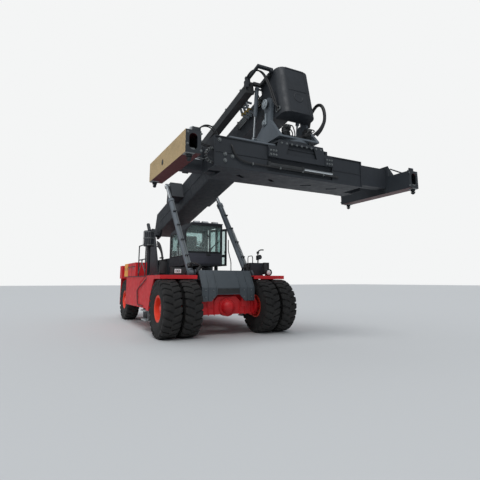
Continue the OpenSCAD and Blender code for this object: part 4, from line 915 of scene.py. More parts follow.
class STACKER_OT_head(bpy.types.Operator):
    """Add pin caps, motors, valves, seams and hoses round the boom's head and the slewing ring"""
    bl_idname = "stacker.head"
    bl_label = "Head Fittings"

    def execute(self, context):
        self.on_hanger()
        self.on_head(context.scene.stacker_sizes.hose)
        self.on_side()
        return {"FINISHED"}

    def on_hanger(self):
        """Caps, bolts, motors, valves and hoses of the hanger, drawn from the head pin."""
        out = (-1, 0, 0)
        cap = join(turned([(0.12, 0), (0.12, 0.012), (0.108, 0.02), (0.06, 0.02), (0.055, 0.03),
                           (0.02, 0.034)],
                          40, (-0.642, 0, 0), out),
                   turned([(0.06, 0), (0.06, 0.016), (0.045, 0.022)], 32, (-0.574, 0.16, -0.4), out),
                   blocks(((-0.585, 0.04, -0.47), (-0.572, 0.1, -0.2)), ease=0.004))
        piece("pin_caps", placed(mirrored(cap), AT_PIN), "hanger", "pale")
        heads = bolts([*ring_places((-0.66, 0, 0), 0.085, 6), *ring_places((-0.59, 0.16, -0.4), 0.045, 4)],
                      out, 0.022)
        ring = bolts(ring_places((0, 0, -0.94), 0.47, 36, "Z"), (0, 0, 1), 0.03)
        piece("hanger_bolts", placed(join(mirrored(heads), ring), AT_PIN), "hanger", "zinc")
        # Motors on the slew drives, with cooling ribs, a brake housing, port blocks and ports
        at_motors = [AT_PIN @ shift(x, MOTOR_Y, MOTOR_Z) for x in (-MOTOR_X, MOTOR_X)]
        rib = [(0.098, 0), (0.108, 0.004), (0.108, 0.01), (0.098, 0.014)]
        motor = join(turned([(0.098, 0), (0.098, 0.03), (0.09, 0.035), (0.09, 0.16), (0.1, 0.165),
                             (0.1, 0.19)],
                            32),
                     turned([(0.064, 0), (0.066, 0.05), (0.066, 0.12), (0.05, 0.135)], 32, (0, 0, 0.17)),
                     blocks(((-0.07, -0.12, 0.2), (0.07, -0.05, 0.29)),
                            ((-0.05, 0.05, 0.21), (0.05, 0.1, 0.28))),
                     *(turned(rib, 32, (0, 0, z)) for z in (0.05, 0.08, 0.11)))
        piece("slew_motors", placed(motor, *at_motors), "hanger", "plastic")
        port = [(0.022, 0), (0.022, 0.02), (0.017, 0.022), (0.017, 0.05)]
        ports = join(*(turned(port, 12, (x, -0.12, 0.245), (0, -1, 0)) for x in (-0.035, 0.035)),
                     turned([(0.018, 0), (0.018, 0.03), (0.012, 0.04)], 12, (0.04, 0.1, 0.25), (1, 0.3, 0)))
        piece("motor_ports", placed(ports, *at_motors), "hanger", "zinc")
        feeds = [pipe(smooth_path([(x + dx, -0.51, -0.655), (x + dx, -0.545, -0.66),
                                   (x + dx * 2, -0.56, -0.7), (x * 0.6 + dx, -0.5, -0.8),
                                   (x * 0.35 + dx, -0.4, -0.84), (dx, -0.28, -0.85)],
                                  6),
                      0.013) for x in (-MOTOR_X, MOTOR_X) for dx in (-0.035, 0.035)]
        piece("motor_hoses", placed(join(*feeds), AT_PIN), "hanger", "hose")
        valves = blocks(((-0.12, -0.3, -0.897), (0.12, -0.14, -0.78)),
                        ((-0.09, -0.31, -0.86), (-0.03, -0.3, -0.8)),
                        ((0.03, -0.31, -0.86), (0.09, -0.3, -0.8)))
        piece("slew_valves", placed(valves, AT_PIN), "hanger", "zinc")

    def on_head(self, hose):
        """Seams, rollers and the hoses that arch down, drawn along the boom from the head's middle."""
        nose = join(blocks(((-0.478, -0.28, -0.07), (-0.466, 0.2, -0.055)),
                           ((0.466, -0.28, -0.07), (0.478, 0.2, -0.055)),
                           ((-0.26, -0.508, -0.07), (0.26, -0.497, -0.055)),
                           ((-0.27, -0.512, -0.69), (0.27, -0.496, -0.65)),
                           ((-0.27, -0.512, 0.53), (0.27, -0.496, 0.562)),
                           ((0.262, -0.51, -0.66), (0.285, -0.494, 0.54)), ease=0.003),
                    turned([(0.13, 0), (0.13, 0.006), (0.12, 0.01), (0.108, 0.01), (0.1, 0.004)], 48,
                           (0, -0.5, -0.25), (0, -1, 0)))
        piece("head_seams", placed(nose, AT_HEAD), "extension", "dark")
        wheel = [(0.03, -0.02), (0.055, -0.015), (0.055, 0.015), (0.03, 0.02)]
        spots = ((-0.405, 0), (-0.265, 0), (0.285, -0.34))
        rollers = join(*(turned(wheel, 24, (x, y, 0.66), (1, 0, 0)) for x, y in spots),
                       rods(((-0.44, 0, 0.66), (-0.25, 0, 0.66)),
                            ((0.25, -0.34, 0.66), (0.31, -0.34, 0.66)), radius=0.012))
        piece("head_rollers", placed(rollers, AT_HEAD), "extension", "zinc")
        # Twin hoses from the guide over the head's side down to the ring fittings
        arch = bundle([(-0.93, 0.36, 0.36), (-0.9, 0.2, 0.6), (-0.82, 0.0, 0.68), (-0.7, -0.16, 0.52),
                       (-0.6, -0.24, 0.1), (-0.54, -0.28, -0.36), (-0.5, -0.3, -0.52)],
                      [(0.05, 0, 0)] * 6 + [(0, 0.05, 0)], (-0.5, 0.5), hose, steps=10)
        piece("arch_hoses", placed(arch, AT_HEAD), "extension", "hose")
        ring = [(0.035, -0.012), (0.055, -0.012), (0.055, 0.012), (0.035, 0.012)]
        rings = join(*(ring_of(ring, 24, (-0.485, -0.3 + k, -0.54), (1, 0, 0)) for k in (-0.025, 0.045)))
        piece("hose_rings", placed(rings, AT_HEAD), "extension", "zinc")

    def on_side(self):
        """Pipes, clamps, hose loops and guide tubes on the near side of the inner section."""
        levels = [0.12 + k * 0.06 for k in range(4)]
        pipes = join(*(bent_pipe([(-0.4, 0.42, z), (-0.43, 0.5, z), (-0.43, 1.75, z)], 0.05, 0.014)
                       for z in levels))
        piece("side_pipes", placed(pipes, AT_HEAD), "extension", "zinc")
        clamps = blocks(*(((-0.46, y, 0.09), (-0.378, y + 0.05, 0.34)) for y in (0.6, 1.15, 1.68)))
        piece("pipe_clamps", placed(clamps, AT_HEAD), "extension", "plastic")
        loops = bundle([(-0.43, 0.52, 0.12), (-0.47, 0.44, 0.13), (-0.51, 0.4, 0.26), (-0.52, 0.5, 0.42),
                        (-0.44, 0.62, 0.5)],
                       [(0, 0, 0.06), (0, 0, 0.06), (-0.02, 0, 0.05), (-0.02, 0, 0.04), (0, 0, 0)],
                       range(3), 0.015)
        piece("loop_hoses", placed(loops, AT_HEAD), "extension", "hose")
        # Guide tubes with their sockets, and a thick hose that arches over the hanger's left arm
        steps = (0.0, 0.16, 0.32)
        tubes = join(*(bent_pipe([(-0.42, 1.05 + k, 0.52), (-0.62, 1.0 + k, 0.5), (-0.62, 0.86 + k, 0.22),
                                       (-0.45, 0.8 + k, 0.12)], 0.07, 0.032, 14) for k in steps))
        piece("guide_tubes", placed(tubes, AT_PIN), "extension", "grey")
        spots = [(x, y + k, z) for x, y, z in ((-0.62, 1.0, 0.505), (-0.6, 0.84, 0.2)) for k in steps]
        piece("tube_sockets", placed(bolts(spots, (0, 0.4, 1), 0.085), AT_PIN), "extension", "brass")
        arch = join(*(pipe(smooth_path([(0.57, -0.1, -0.4), (0.6, -0.16, -0.1), (0.64, -0.34, 0.08),
                                        (0.66, -0.5, 0.04), (0.66, -0.6, -0.15),
                                        (0.66 - k * 0.3, -0.6, -0.38), (0.62 - k, -0.52, -0.58),
                                        (0.55 - k * 2, -0.42, -0.72)],
                                       10),
                           0.04 - k * 0.3, 12) for k in (0.0, 0.04)))
        piece("swivel_hoses", placed(arch, AT_PIN), "hanger", "hose")
        unions = bolts([(-0.43, 0.5, z) for z in levels], (0, 1, 0), 0.03)
        piece("pipe_unions", placed(unions, AT_HEAD), "extension", "brass")


# Foot pin of the right lift cylinder and the pin at its rod's eye, from the ground below the drive axle
LIFT_FOOT, LIFT_EYE = (-0.98, 0.384, 1.83), (-0.98, 3.0892, 5.13361)


class STACKER_OT_boom(bpy.types.Operator):
    """Add hoses, stiffeners, pads and cylinder pipes along the boom"""
    bl_idname = "stacker.boom"
    bl_label = "Boom Fittings"

    def execute(self, context):
        # Stiffener strips along the outer section, and round its collar
        strips = blocks(*(((sign * 0.438, -6.54, z), (sign * 0.452, 0.3, z + 0.05))
                          for sign in (-1, 1) for z in (-0.43, -0.02)),
                        *(((sign * 0.438, y, -0.38), (sign * 0.45, y + 0.03, 0.43))
                          for sign in (-1, 1) for y in (-5.6, -4.2, -0.6)),
                        ease=0.004)
        piece("boom_strips", placed(strips, ALONG_BOOM), "boom", "dark")
        rows = (-6.67, -6.58)
        pads = [bolts([(sign * 0.49, y, z) for y in rows for z in (-0.3, -0.1, 0.1, 0.3)], (sign, 0, 0),
                      0.03) for sign in (1, -1)]
        pads.append(bolts([(x, y, -0.51) for x in (-0.3, -0.1, 0.1, 0.3) for y in rows], (0, 0, -1), 0.03))
        piece("collar_bolts", placed(join(*pads), ALONG_BOOM), "boom", "zinc")
        # Hoses laid in the carrier, and their clamps
        hoses = rods(*(((x, -9.4, 0.478), (x, -4.72, 0.478)) for x in (-0.895, -0.855, -0.815, -0.775)),
                     radius=0.018, sides=8)
        piece("carrier_hoses", placed(hoses, ALONG_BOOM), "extension", "hose")
        straps = blocks(*(((-0.945, y, 0.46), (-0.725, y + 0.05, 0.502))
                          for y in np.arange(-9.2, -4.8, 0.88)))
        piece("carrier_straps", placed(straps, ALONG_BOOM), "extension", "zinc")
        # Pipes and clamps on the lift cylinders, drawn up from the foot pin
        tilt = np.arctan2(LIFT_FOOT[1] - LIFT_EYE[1], LIFT_EYE[2] - LIFT_FOOT[2])
        foot = FROM_AXLE @ shift(*LIFT_FOOT) @ turn("X", tilt)
        pipes = join(bent_pipe([(0.02, -0.1, 0.22), (0.02, -0.135, 0.26), (0.02, -0.135, 3.34),
                                (0.02, -0.11, 3.37)],
                               0.03, 0.013),
                     bent_pipe([(-0.05, -0.09, 0.22), (-0.05, -0.128, 0.26), (-0.05, -0.128, 2.0)], 0.03,
                               0.013))
        clips = blocks(*(((-0.08, -0.155, z), (0.05, -0.09, z + 0.04)) for z in (0.6, 1.3, 2.0, 2.7)))
        gland = ring_of([(0.07, 3.46), (0.108, 3.46), (0.108, 3.485), (0.085, 3.5), (0.07, 3.5)], 40)
        block = blocks(((-0.09, -0.17, 0.13), (0.07, -0.08, 0.27)),
                       ((-0.06, -0.21, 0.16), (0.04, -0.17, 0.24)))
        heads = bolts(ring_places((0, 0, 3.487), 0.094, 8, "Z"), (0, 0, 1), 0.02)
        hoses = bundle([(-0.02, -0.2, 0.2), (-0.02, -0.3, 0.16), (0.1, -0.36, 0.02), (0.3, -0.3, -0.06)],
                       [(0.05, 0, 0), (0.05, 0, 0), (0, -0.04, 0), (0, 0, 0)], range(2), 0.016)
        for name, form, finish in (("lift_pipes", pipes, "zinc"), ("lift_clips", join(clips, gland), "dark"),
                                   ("lift_valves", block, "plastic"), ("gland_bolts", heads, "zinc"),
                                   ("lift_feeds", hoses, "hose")):
            piece(name, mirrored(placed(form, foot)), "lift_barrels", finish)
        return {"FINISHED"}


# Points along each side of a cushion's top
CUSHION_POINTS = 21


def cushion(low, high, crown):
    """A soft pad between two corners. Its top falls from a crown to the edges as (1 - a^2)(1 - b^2), and
    its rim is eased as the square root of 1 - (a^4 + b^4) / 2, with a quilted step at 0.62."""
    low, high = np.array(low), np.array(high)
    n = CUSHION_POINTS
    a, b = np.meshgrid(*2 * [np.linspace(-1, 1, n)], indexing="ij")
    edge = np.clip(1 - (np.abs(a)**4 + np.abs(b)**4) / 2, 0, 1)**0.5
    top = high[2] - 0.03 + 0.03 * edge + crown * (1 - a**2) * (1 - b**2) - 0.012 * (np.abs(a) > 0.62)
    mid, half = (low + high) / 2, (high - low) / 2
    grid = np.stack([mid[0] + half[0] * a, mid[1] + half[1] * b, top], -1)
    rim = np.concatenate([grid[0, :-1], grid[:-1, -1], grid[-1, :0:-1], grid[:0:-1, 0]])
    centre = [mid[0], mid[1], 0]
    inset = (rim - centre) * (0.96, 0.96, 1) + centre
    foot = ((inset, low[2]), (rim, low[2] + 0.02))
    rows = [np.column_stack([outline[:, :2], np.full(len(rim), z)]) for outline, z in foot]
    side = skin([*rows, rim], ends=False)
    i, j = np.meshgrid(np.arange(n - 1), np.arange(n - 1), indexing="ij")
    quads = np.stack([i * n + j, (i + 1) * n + j, (i + 1) * n + j + 1, i * n + j + 1], -1).reshape(-1, 4)
    cover = (grid.reshape(-1, 3), quads.ravel(), np.full(len(quads), 4))
    base = (rows[0], np.arange(len(rim)), np.array([len(rim)]))
    return join(side, cover, base)


def gasket(points, radius=0.012):
    """A rubber bead round a window: a bent pipe through its corners and round the first one again."""
    return pipe(bent_path([*points, points[0], points[1]], 0.03)[:-1], radius, 6)


# The cab is drawn from the foot of its windscreen's face, on the machine's middle plane
CAB_FLOOR_Z = 2.17
AT_CAB = FROM_AXLE @ shift(0, 1.75, 0)
# The left door is drawn shut from its hinge, and stands open by this angle
AT_DOOR = FROM_AXLE @ shift(0.734, 3.1, 0) @ turn("Z", radians(34))


class STACKER_OT_cab(bpy.types.Operator):
    """Furnish the cab with its seat, wheel, console, gaskets, wiper and handles"""
    bl_idname = "stacker.cab"
    bl_label = "Cab Fittings"

    def execute(self, context):
        self.seat_and_console()
        self.outside()
        self.door()
        return {"FINISHED"}

    def in_cab(self, name, form, finish, slot=None, angle=35):
        """A piece drawn from the cab's front, which is fixed to the chassis."""
        return piece(name, placed(form, AT_CAB), "chassis", finish, angle)

    def seat_and_console(self):
        """Seat on a sprung base, steering column and side console."""
        seat = cushion((-0.265, 0.86, 2.47), (0.265, 1.32, 2.61), 0.02)
        back = placed(cushion((-0.25, -0.32, -0.06), (0.25, 0.36, 0.06), 0.02),
                      shift(0, 1.35, 2.92) @ turn("X", np.pi / 2))
        for name, form in (("seat_cushion", seat), ("seat_back", back)):
            obj = self.in_cab(name, form, "vinyl", "seat", 60)
            obj.modifiers.new("weld", "WELD").merge_threshold = 0.0005
        base = join(blocks(((-0.22, 0.95, CAB_FLOOR_Z), (0.22, 1.35, 2.3)),
                           ((-0.18, 1.0, 2.3), (0.18, 1.3, 2.46)), ((-0.25, 1.38, 2.5), (0.25, 1.43, 3.2)),
                           ease=0.015),
                    *(ring_of([(0.19, z), (0.2, z + 0.01), (0.19, z + 0.02)], 32, (0, 1.15, 0))
                      for z in (2.32, 2.36, 2.4)))
        knob = [(0.01, 0), (0.03, 0.01), (0.034, 0.05), (0.02, 0.08), (0.005, 0.084)]
        column = join(blocks(((-0.15, 0.15, CAB_FLOOR_Z), (0.15, 0.35, 2.72)),
                             ((-0.2, 0.1, 2.7), (0.2, 0.33, 2.8)), ease=0.02),
                      blocks(((0.33, 0.9, CAB_FLOOR_Z), (0.5, 1.35, 2.72)),
                             ((0.31, 0.85, 2.72), (0.52, 1.3, 2.76)), ease=0.02),
                      pipe([(0.42, 0.98, 2.75), (0.42, 0.97, 2.86)], 0.014),
                      turned(knob, 20, (0.42, 0.97, 2.85)))
        grip = [(0.18 + 0.016 * np.cos(q), 0.15 + 0.016 * np.sin(q))
                for q in np.linspace(0, 2 * np.pi, 10, endpoint=False)]
        wheel = join(ring_of(grip, 40), pipe([(-0.17, 0, 0.148), (0.17, 0, 0.148)], 0.01),
                     pipe([(0, -0.17, 0.148), (0, 0, 0.148)], 0.01),
                     turned([(0.04, 0.13), (0.04, 0.16), (0.02, 0.17)], 24),
                     turned([(0.025, 0), (0.025, 0.14)], 20))
        wheel = placed(wheel, shift(0, 0.33, 2.77) @ turn("X", radians(25)))
        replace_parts(self.in_cab("seat_and_console", join(base, column, wheel), "plastic", "black_plastic"),
                    "operator_place")

    def outside(self):
        """Gaskets, wiper, panel lines, gutter, roof unit and lamp lenses."""
        wind = [(-0.66, -0.004, 2.6), (0.66, -0.004, 2.6), (0.66, -0.004, 3.53), (-0.46, -0.004, 3.53),
                (-0.66, -0.004, 3.33)]
        rear = [(-0.6, 1.624, 2.71), (0.6, 1.624, 2.71), (0.6, 1.624, 3.46), (-0.53, 1.624, 3.46),
                (-0.6, 1.624, 3.39)]
        side = [(-0.724, 0.13, 2.46), (-0.724, 1.46, 2.46), (-0.724, 1.46, 3.29), (-0.724, 0.13, 3.29)]
        left = [(0.724, 0.11, 2.46), (0.724, 0.42, 2.46), (0.724, 0.42, 3.49), (0.724, 0.11, 3.49)]
        self.in_cab("window_gaskets", join(*(gasket(window) for window in (wind, rear, side, left))), "hose")
        wiper = join(pipe([(0.18, -0.03, 2.5), (0.3, -0.035, 2.72), (0.42, -0.03, 2.86)], 0.014),
                     pipe([(0.2, -0.022, 2.66), (0.62, -0.022, 3.02)], 0.013),
                     turned([(0.03, 0), (0.03, 0.03), (0.015, 0.04)], 20, (0.18, 0, 2.5), (0, -1, 0)),
                     blocks(((0.1, -0.02, 2.46), (0.26, 0.0, 2.54)), ease=0.008))
        self.in_cab("wiper", wiper, "plastic")
        skins = blocks(((-0.7, -0.012, 2.16), (0.7, 0.002, 2.54)), ((-0.64, -0.02, 2.2), (0.64, -0.01, 2.44)),
                       ((-0.45, -0.02, 3.6), (0.73, 0.0, 3.63)), ((0.715, 0.0, 3.6), (0.735, 1.62, 3.63)),
                       ((-0.45, 1.615, 3.6), (0.73, 1.635, 3.63)), ease=0.004)
        self.in_cab("cab_panels", skins, "panel", "dark_paint")
        roof = join(blocks(((-0.4, 0.2, 3.622), (0.5, 1.2, 3.66)), ease=0.015),
                    blocks(*(((x, 0.1, 3.622), (x + 0.05, 0.14, 3.65)) for x in (-0.3, 0.02, 0.4))))
        self.in_cab("roof_unit", roof, "plastic", "black_plastic")
        lenses = blocks(*(((x + 0.015, 0.004, 3.63), (x + 0.215, 0.016, 3.672))
                          for x in (-0.38, -0.06, 0.32)),
                        ease=0.004)
        self.in_cab("roof_lenses", lenses, "pressed", "lamp")

    def door(self):
        """Handle, inner rail, gasket and panes of the door."""
        pull = join(bent_pipe([(0.026, -0.74, 2.72), (0.075, -0.74, 2.72), (0.075, -0.74, 2.95),
                               (0.026, -0.74, 2.95)],
                              0.03, 0.011),
                    bent_pipe([(-0.014, -0.62, 2.56), (-0.06, -0.62, 2.56), (-0.06, -0.2, 2.56),
                               (-0.014, -0.2, 2.56)],
                              0.03, 0.012),
                    blocks(((0.024, -0.8, 2.62), (0.04, -0.72, 2.7))))
        rubber = gasket([(0.03, -0.77, 2.57), (0.03, -0.11, 2.57), (0.03, -0.11, 3.48),
                         (0.03, -0.77, 3.48)],
                        0.01)
        panes = blocks(((0.004, -0.78, 2.555), (0.01, -0.095, 3.495)),
                       ((0.004, -0.78, 2.145), (0.01, -0.095, 2.485)), ease=0.001)
        piece("door_handles", placed(pull, AT_DOOR), "cab_door", "zinc")
        piece("door_gasket", placed(rubber, AT_DOOR), "cab_door", "hose")
        piece("door_panes", placed(panes, AT_DOOR), "cab_door", "glass")


class STACKER_OT_chassis(bpy.types.Operator):
    """Add lamps, mirrors, rails, cylinder feet, tread plates and the rest of the chassis's fittings"""
    bl_idname = "stacker.chassis"
    bl_label = "Chassis Fittings"

    def execute(self, context):
        self.lamps_and_mirrors()
        self.rails()
        self.feet_and_axle(context.scene.stacker_sizes.hose)
        self.tanks_and_steps()
        self.rear_and_tower()
        return {"FINISHED"}

    def on_chassis(self, name, form, finish, slot=None):
        """A piece drawn from the ground below the drive axle's middle."""
        return piece(name, placed(form, FROM_AXLE), "chassis", finish)

    def lamps_and_mirrors(self):
        """Lenses and housings of the head lamps, square on the right fender and round on the left,
        the mirrors' glass and backs, and a post with a horn."""
        deck, ahead = DECK_Z, (0, -1, 0)
        lenses = join(blocks(((-1.56, 0.152, deck + 0.06), (-1.36, 0.162, deck + 0.18)), ease=0.01),
                      turned([(0.085, 0), (0.08, 0.012), (0.05, 0.024), (0.01, 0.028)], 32,
                             (1.7, 0.182, deck + 0.11), ahead))
        self.on_chassis("lamp_lenses", lenses, "pressed", "lamp")
        ring = [(0.022, 0), (0.034, 0), (0.034, 0.008), (0.022, 0.008)]
        bulbs = join(*(ring_of(ring, 24, (x, 0.152, deck + 0.12), ahead) for x in (-1.5, -1.43)))
        self.on_chassis("lamp_rings", bulbs, "plastic", "black_plastic")
        shells = join(blocks(((-1.66, 0.17, deck), (-1.26, 0.34, deck + 0.05)),
                             ((-1.64, 0.165, deck + 0.05), (-1.585, 0.33, deck + 0.21)),
                             ((-1.335, 0.165, deck + 0.05), (-1.2, 0.33, deck + 0.21)),
                             ((-1.64, 0.165, deck + 0.2), (-1.2, 0.33, deck + 0.23)), ease=0.012),
                      ring_of([(0.1, -0.01), (0.112, -0.005), (0.112, 0.05), (0.1, 0.05)], 32,
                              (1.7, 0.2, deck + 0.11), ahead))
        self.on_chassis("lamp_shells", shells, "plastic", "black_plastic")
        faces = blocks(((-1.89, 0.5605, deck + 0.08), (-1.71, 0.564, deck + 0.42)), ease=0.0015)
        self.on_chassis("mirror_faces", mirrored(faces), "mirror")
        backs = slab((-1.905, 0.5, deck + 0.05), (-1.695, 0.53, deck + 0.45), 0.012, 0.05)
        self.on_chassis("mirror_backs", mirrored(backs), "plastic", "black_plastic")
        post = join(bent_pipe([(1.62, 0.75, 2.19), (1.62, 0.75, 2.6), (1.72, 0.74, 2.66),
                               (1.84, 0.74, 2.66)],
                              0.05, 0.022),
                    turned([(0.03, 0), (0.03, 0.05), (0.05, 0.07), (0.075, 0.1), (0.08, 0.105)], 28,
                           (1.62, 0.72, 2.4), ahead),
                    blocks(((1.57, 0.74, 2.3), (1.67, 0.8, 2.46)), ((1.59, 0.7, 2.52), (1.65, 0.8, 2.6)),
                           ease=0.01))
        self.on_chassis("horn_post", post, "plastic", "black_plastic")

    def rails(self):
        """Diagonals of the right rail, the long grip on the tank and the rails to hold on by."""
        deck = DECK_Z
        bars = rods(((-1.93, 2.15, deck + 0.1), (-1.93, 2.75, deck + 0.56)),
                    ((-1.93, 3.1, deck + 0.1), (-1.93, 2.55, deck + 0.56)), radius=0.014)
        self.on_chassis("rail_braces", bars, "zinc")
        bar = [(-1.99, 1.22, 1.82), (-1.99, 2.38, 1.46), (-1.99, 2.93, 1.28), (-1.99, 2.8, 0.8),
               (-1.99, 2.1, 0.78)]
        stays = ((1.26, 1.808), (2.38, 1.46), (2.87, 1.05), (2.14, 0.781))
        long_grip = join(bent_pipe(bar, 0.08, 0.015),
                         rods(*(((-1.955, y, z), (-1.99, y, z)) for y, z in stays), radius=0.012))
        self.on_chassis("tank_grip", long_grip, "plastic")
        hoop = [(1.9, 1.62, deck), (1.9, 1.62, deck + 0.75), (1.9, 1.98, deck + 0.75), (1.9, 1.98, deck)]
        rails = [[(x, 1.5, deck), (x, 1.5, deck + 0.5), (x, 1.72, deck + 0.9), (x, 1.72, deck + 1.3)]
                 for x in (-0.95, 0.95)]
        grips = join(bent_pipe(hoop, 0.1, 0.016), *(bent_pipe(rail, 0.08, 0.016) for rail in rails))
        self.on_chassis("grab_rails", grips, "dark", "dark_paint")

    def feet_and_axle(self, hose):
        """Pin caps, valve blocks and hoses at the lift cylinders' feet, a panel and bolts on the cowl, and
        bolts on the axle's cover and flanges."""
        cap = [(0.07, 0), (0.07, 0.014), (0.05, 0.02)]
        foot_y, foot_z = LIFT_FOOT[1:]
        caps = join(turned(cap, 32, (-1.146, foot_y, foot_z), (-1, 0, 0)),
                    turned(cap, 32, (-0.814, foot_y, foot_z), (1, 0, 0)),
                    blocks(((-0.86, 0.14, 1.9), (-0.78, 0.22, 2.0)),
                           ((-0.8, 0.2, 1.72), (-0.68, 0.34, 1.86))))
        self.on_chassis("foot_caps", mirrored(caps), "dark", "dark_paint")
        loops = bundle([(-0.72, 0.26, 1.86), (-0.72, 0.18, 2.0), (-0.8, 0.06, 1.98), (-0.86, 0.04, 1.86),
                        (-0.84, 0.12, 1.76)],
                       [(0, 0, 0), (-0.03, 0, 0.03), (0, 0, 0.03), (-0.03, 0, 0), (-0.03, 0, 0)], range(3),
                       hose * 0.8)
        self.on_chassis("foot_hoses", mirrored(loops), "hose")
        spots = [(-0.72, 0.26, 1.862), *((-0.84 - k * 0.03, 0.14, 1.745) for k in range(3))]
        self.on_chassis("foot_unions", mirrored(bolts(spots, (0, 0, 1), 0.036)), "brass")
        cowl = blocks(((-0.36, -0.302, 1.22), (0.36, -0.288, 1.37)), ease=0.004)
        self.on_chassis("cowl_panel", cowl, "plastic", "dark_paint")
        spots = [(x, -0.318, z) for x in (-0.755, -0.51, 0.51, 0.755) for z in (1.12, 1.32)]
        self.on_chassis("cowl_bolts", bolts(spots, (0, -1, 0), 0.026), "zinc")
        flange = bolts(ring_places((-0.988, 0, TYRE_RADIUS), 0.25, 14), (-1, 0, 0), 0.026)
        rings = join(bolts(ring_places((0, -0.212, TYRE_RADIUS), 0.238, 20, "Y"), (0, -1, 0), 0.022),
                     mirrored(flange))
        self.on_chassis("axle_bolts", rings, "red", "red_paint")

    def tanks_and_steps(self):
        """Seams and latches of the locker, filler caps on the tanks, and teeth on the steps' treads."""
        deck = DECK_Z
        seams = blocks(((-1.966, 3.46, deck + 0.34), (-1.955, 4.66, deck + 0.37)),
                       ((-1.966, 4.0, deck + 0.02), (-1.955, 4.015, deck + 0.48)), ease=0.003)
        self.on_chassis("locker_strip", seams, "plastic")
        filler = join(turned([(0.06, 0), (0.07, 0.01), (0.07, 0.04), (0.05, 0.05)], 28),
                      blocks(((-0.03, -0.015, 0.05), (0.03, 0.015, 0.07))))
        self.on_chassis("filler_caps", mirrored(placed(filler, shift(-1.7, 1.6, deck))), "plastic",
                        "black_plastic")
        latches = blocks(*(((-1.97, y, 2.0), (-1.956, y + 0.06, 2.1)) for y in (3.7, 4.4, 4.85, 5.2)),
                         ease=0.004)
        self.on_chassis("latches", latches, "zinc")
        # The lower and the upper tread, by the outer end and the foot of their teeth, which stand 40 mm apart
        treads = ((-1.92, 0.38), (-1.945, 0.67))
        rows = 1.72 + 0.04 * np.arange(14)
        teeth = blocks(*(((x, y, z), (-1.69, y + 0.01, z + 0.012)) for x, z in treads for y in rows),
                       ease=0.002)
        self.on_chassis("step_teeth", mirrored(teeth), "step", "step_steel")

    def rear_and_tower(self):
        """Rear lamps and grille, a guard round the muffler, pipes on the deck and hoses up the tower, bolts
        and caps of the boom's pivot."""
        deck = DECK_Z
        lamps = blocks(*(((x, 7.852, z), (x + 0.16, 7.862, z + 0.09))
                         for x in (-1.1, 0.94) for z in (1.86, 1.98)),
                       ease=0.004)
        self.on_chassis("rear_lamps", lamps, "ruby")
        bars = blocks(*(((-0.7, 7.851, z), (0.7, 7.861, z + 0.03)) for z in np.arange(1.8, 2.2, 0.06)),
                      ease=0.004)
        self.on_chassis("rear_grille", bars, "plastic")
        around = [(0.225 * np.cos(q), 0.225 * np.sin(q)) for q in np.linspace(np.pi / 2, 3 * np.pi / 2, 9)]
        guard = join(*(ring_of([(0.201, z), (0.212, z + 0.005), (0.212, z + 0.035), (0.201, z + 0.04)], 48)
                       for z in (1.22, 1.49, 1.74)),
                     rods(*(((x, y, 1.24), (x, y, 1.77)) for x, y in around), radius=0.006, sides=6))
        self.on_chassis("muffler_guard", placed(guard, shift(-1.25, 4.45, deck)), "zinc")
        runs = join(*(bent_pipe([(x, 0.58, 1.8), (x, 1.3, 1.8), (x, 3.3, 1.8), (-0.6, 3.44, 1.8)], 0.08,
                                0.018) for x in (-0.78, -0.83, -0.88)))
        self.on_chassis("deck_pipes", mirrored(runs), "hose")
        rise = bundle([(-0.64, 4.34, 1.76), (-0.64, 4.36, 2.1), (-0.64, 4.62, 2.7), (-0.64, 5.0, 3.1),
                       (-0.64, 5.42, 3.26)],
                      [(0.012, 0.08, 0), (0.012, 0.08, 0), (0.01, 0.07, 0), (0, 0.05, -0.04),
                       (0, 0, -0.07)],
                      range(4), 0.028, 12)
        plates = blocks(((-0.69, 4.3, 1.76), (-0.56, 4.68, 1.83)), ((-0.69, 4.52, 2.5), (-0.6, 4.84, 2.55)),
                        ease=0.008)
        self.on_chassis("tower_hoses", mirrored(join(rise, plates)), "hose")
        spots = [*((-0.704, y, 1.6) for y in (5.2, 5.6, 6.0, 6.4, 6.7)),
                 *ring_places((-0.704, PIVOT_Y, PIVOT_Z), 0.15, 8)]
        self.on_chassis("tower_bolts", mirrored(bolts(spots, (-1, 0, 0), 0.04)), "zinc")
        pins = turned([(0.1, 0), (0.1, 0.02), (0.07, 0.035), (0.02, 0.035)], 36, (-0.732, PIVOT_Y, PIVOT_Z),
                      (-1, 0, 0))
        self.on_chassis("pivot_caps", mirrored(pins), "grey", "grey_paint")


class STACKER_PT_panel(bpy.types.Panel):
    """Lists the steps that dress the reach stacker"""
    bl_idname = "STACKER_PT_panel"
    bl_label = "Reach Stacker"
    bl_space_type = "VIEW_3D"
    bl_region_type = "UI"
    bl_category = "Reach Stacker"

    def draw(self, context):
        for step in STEPS:
            self.layout.operator(step)


STEPS = ["stacker.stage", "stacker.finishes", "stacker.wheels", "stacker.spreader", "stacker.head",
         "stacker.boom", "stacker.cab", "stacker.chassis"]
CLASSES = [PaintSettings, SizeSettings, STACKER_OT_stage, STACKER_OT_finishes, STACKER_OT_wheels,
           STACKER_OT_spreader, STACKER_OT_head, STACKER_OT_boom, STACKER_OT_cab, STACKER_OT_chassis,
           STACKER_PT_panel]


def register():
    """Registers the classes and the settings"""
    for cls in CLASSES:
        bpy.utils.register_class(cls)
    bpy.types.Scene.stacker_paint = PointerProperty(type=PaintSettings)
    bpy.types.Scene.stacker_sizes = PointerProperty(type=SizeSettings)


def unregister():
    """Takes the settings and the classes away"""
    del bpy.types.Scene.stacker_sizes
    del bpy.types.Scene.stacker_paint
    for cls in reversed(CLASSES):
        bpy.utils.unregister_class(cls)


def main():
    """Registers the add-on and runs its steps in order"""
    register()
    for step in STEPS:
        group, name = step.split(".")
        getattr(getattr(bpy.ops, group), name)()


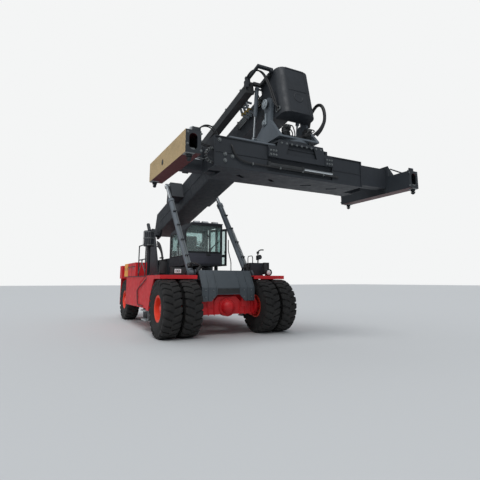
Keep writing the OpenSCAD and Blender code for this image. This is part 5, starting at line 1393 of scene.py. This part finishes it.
if __name__ == "__main__":
    main()
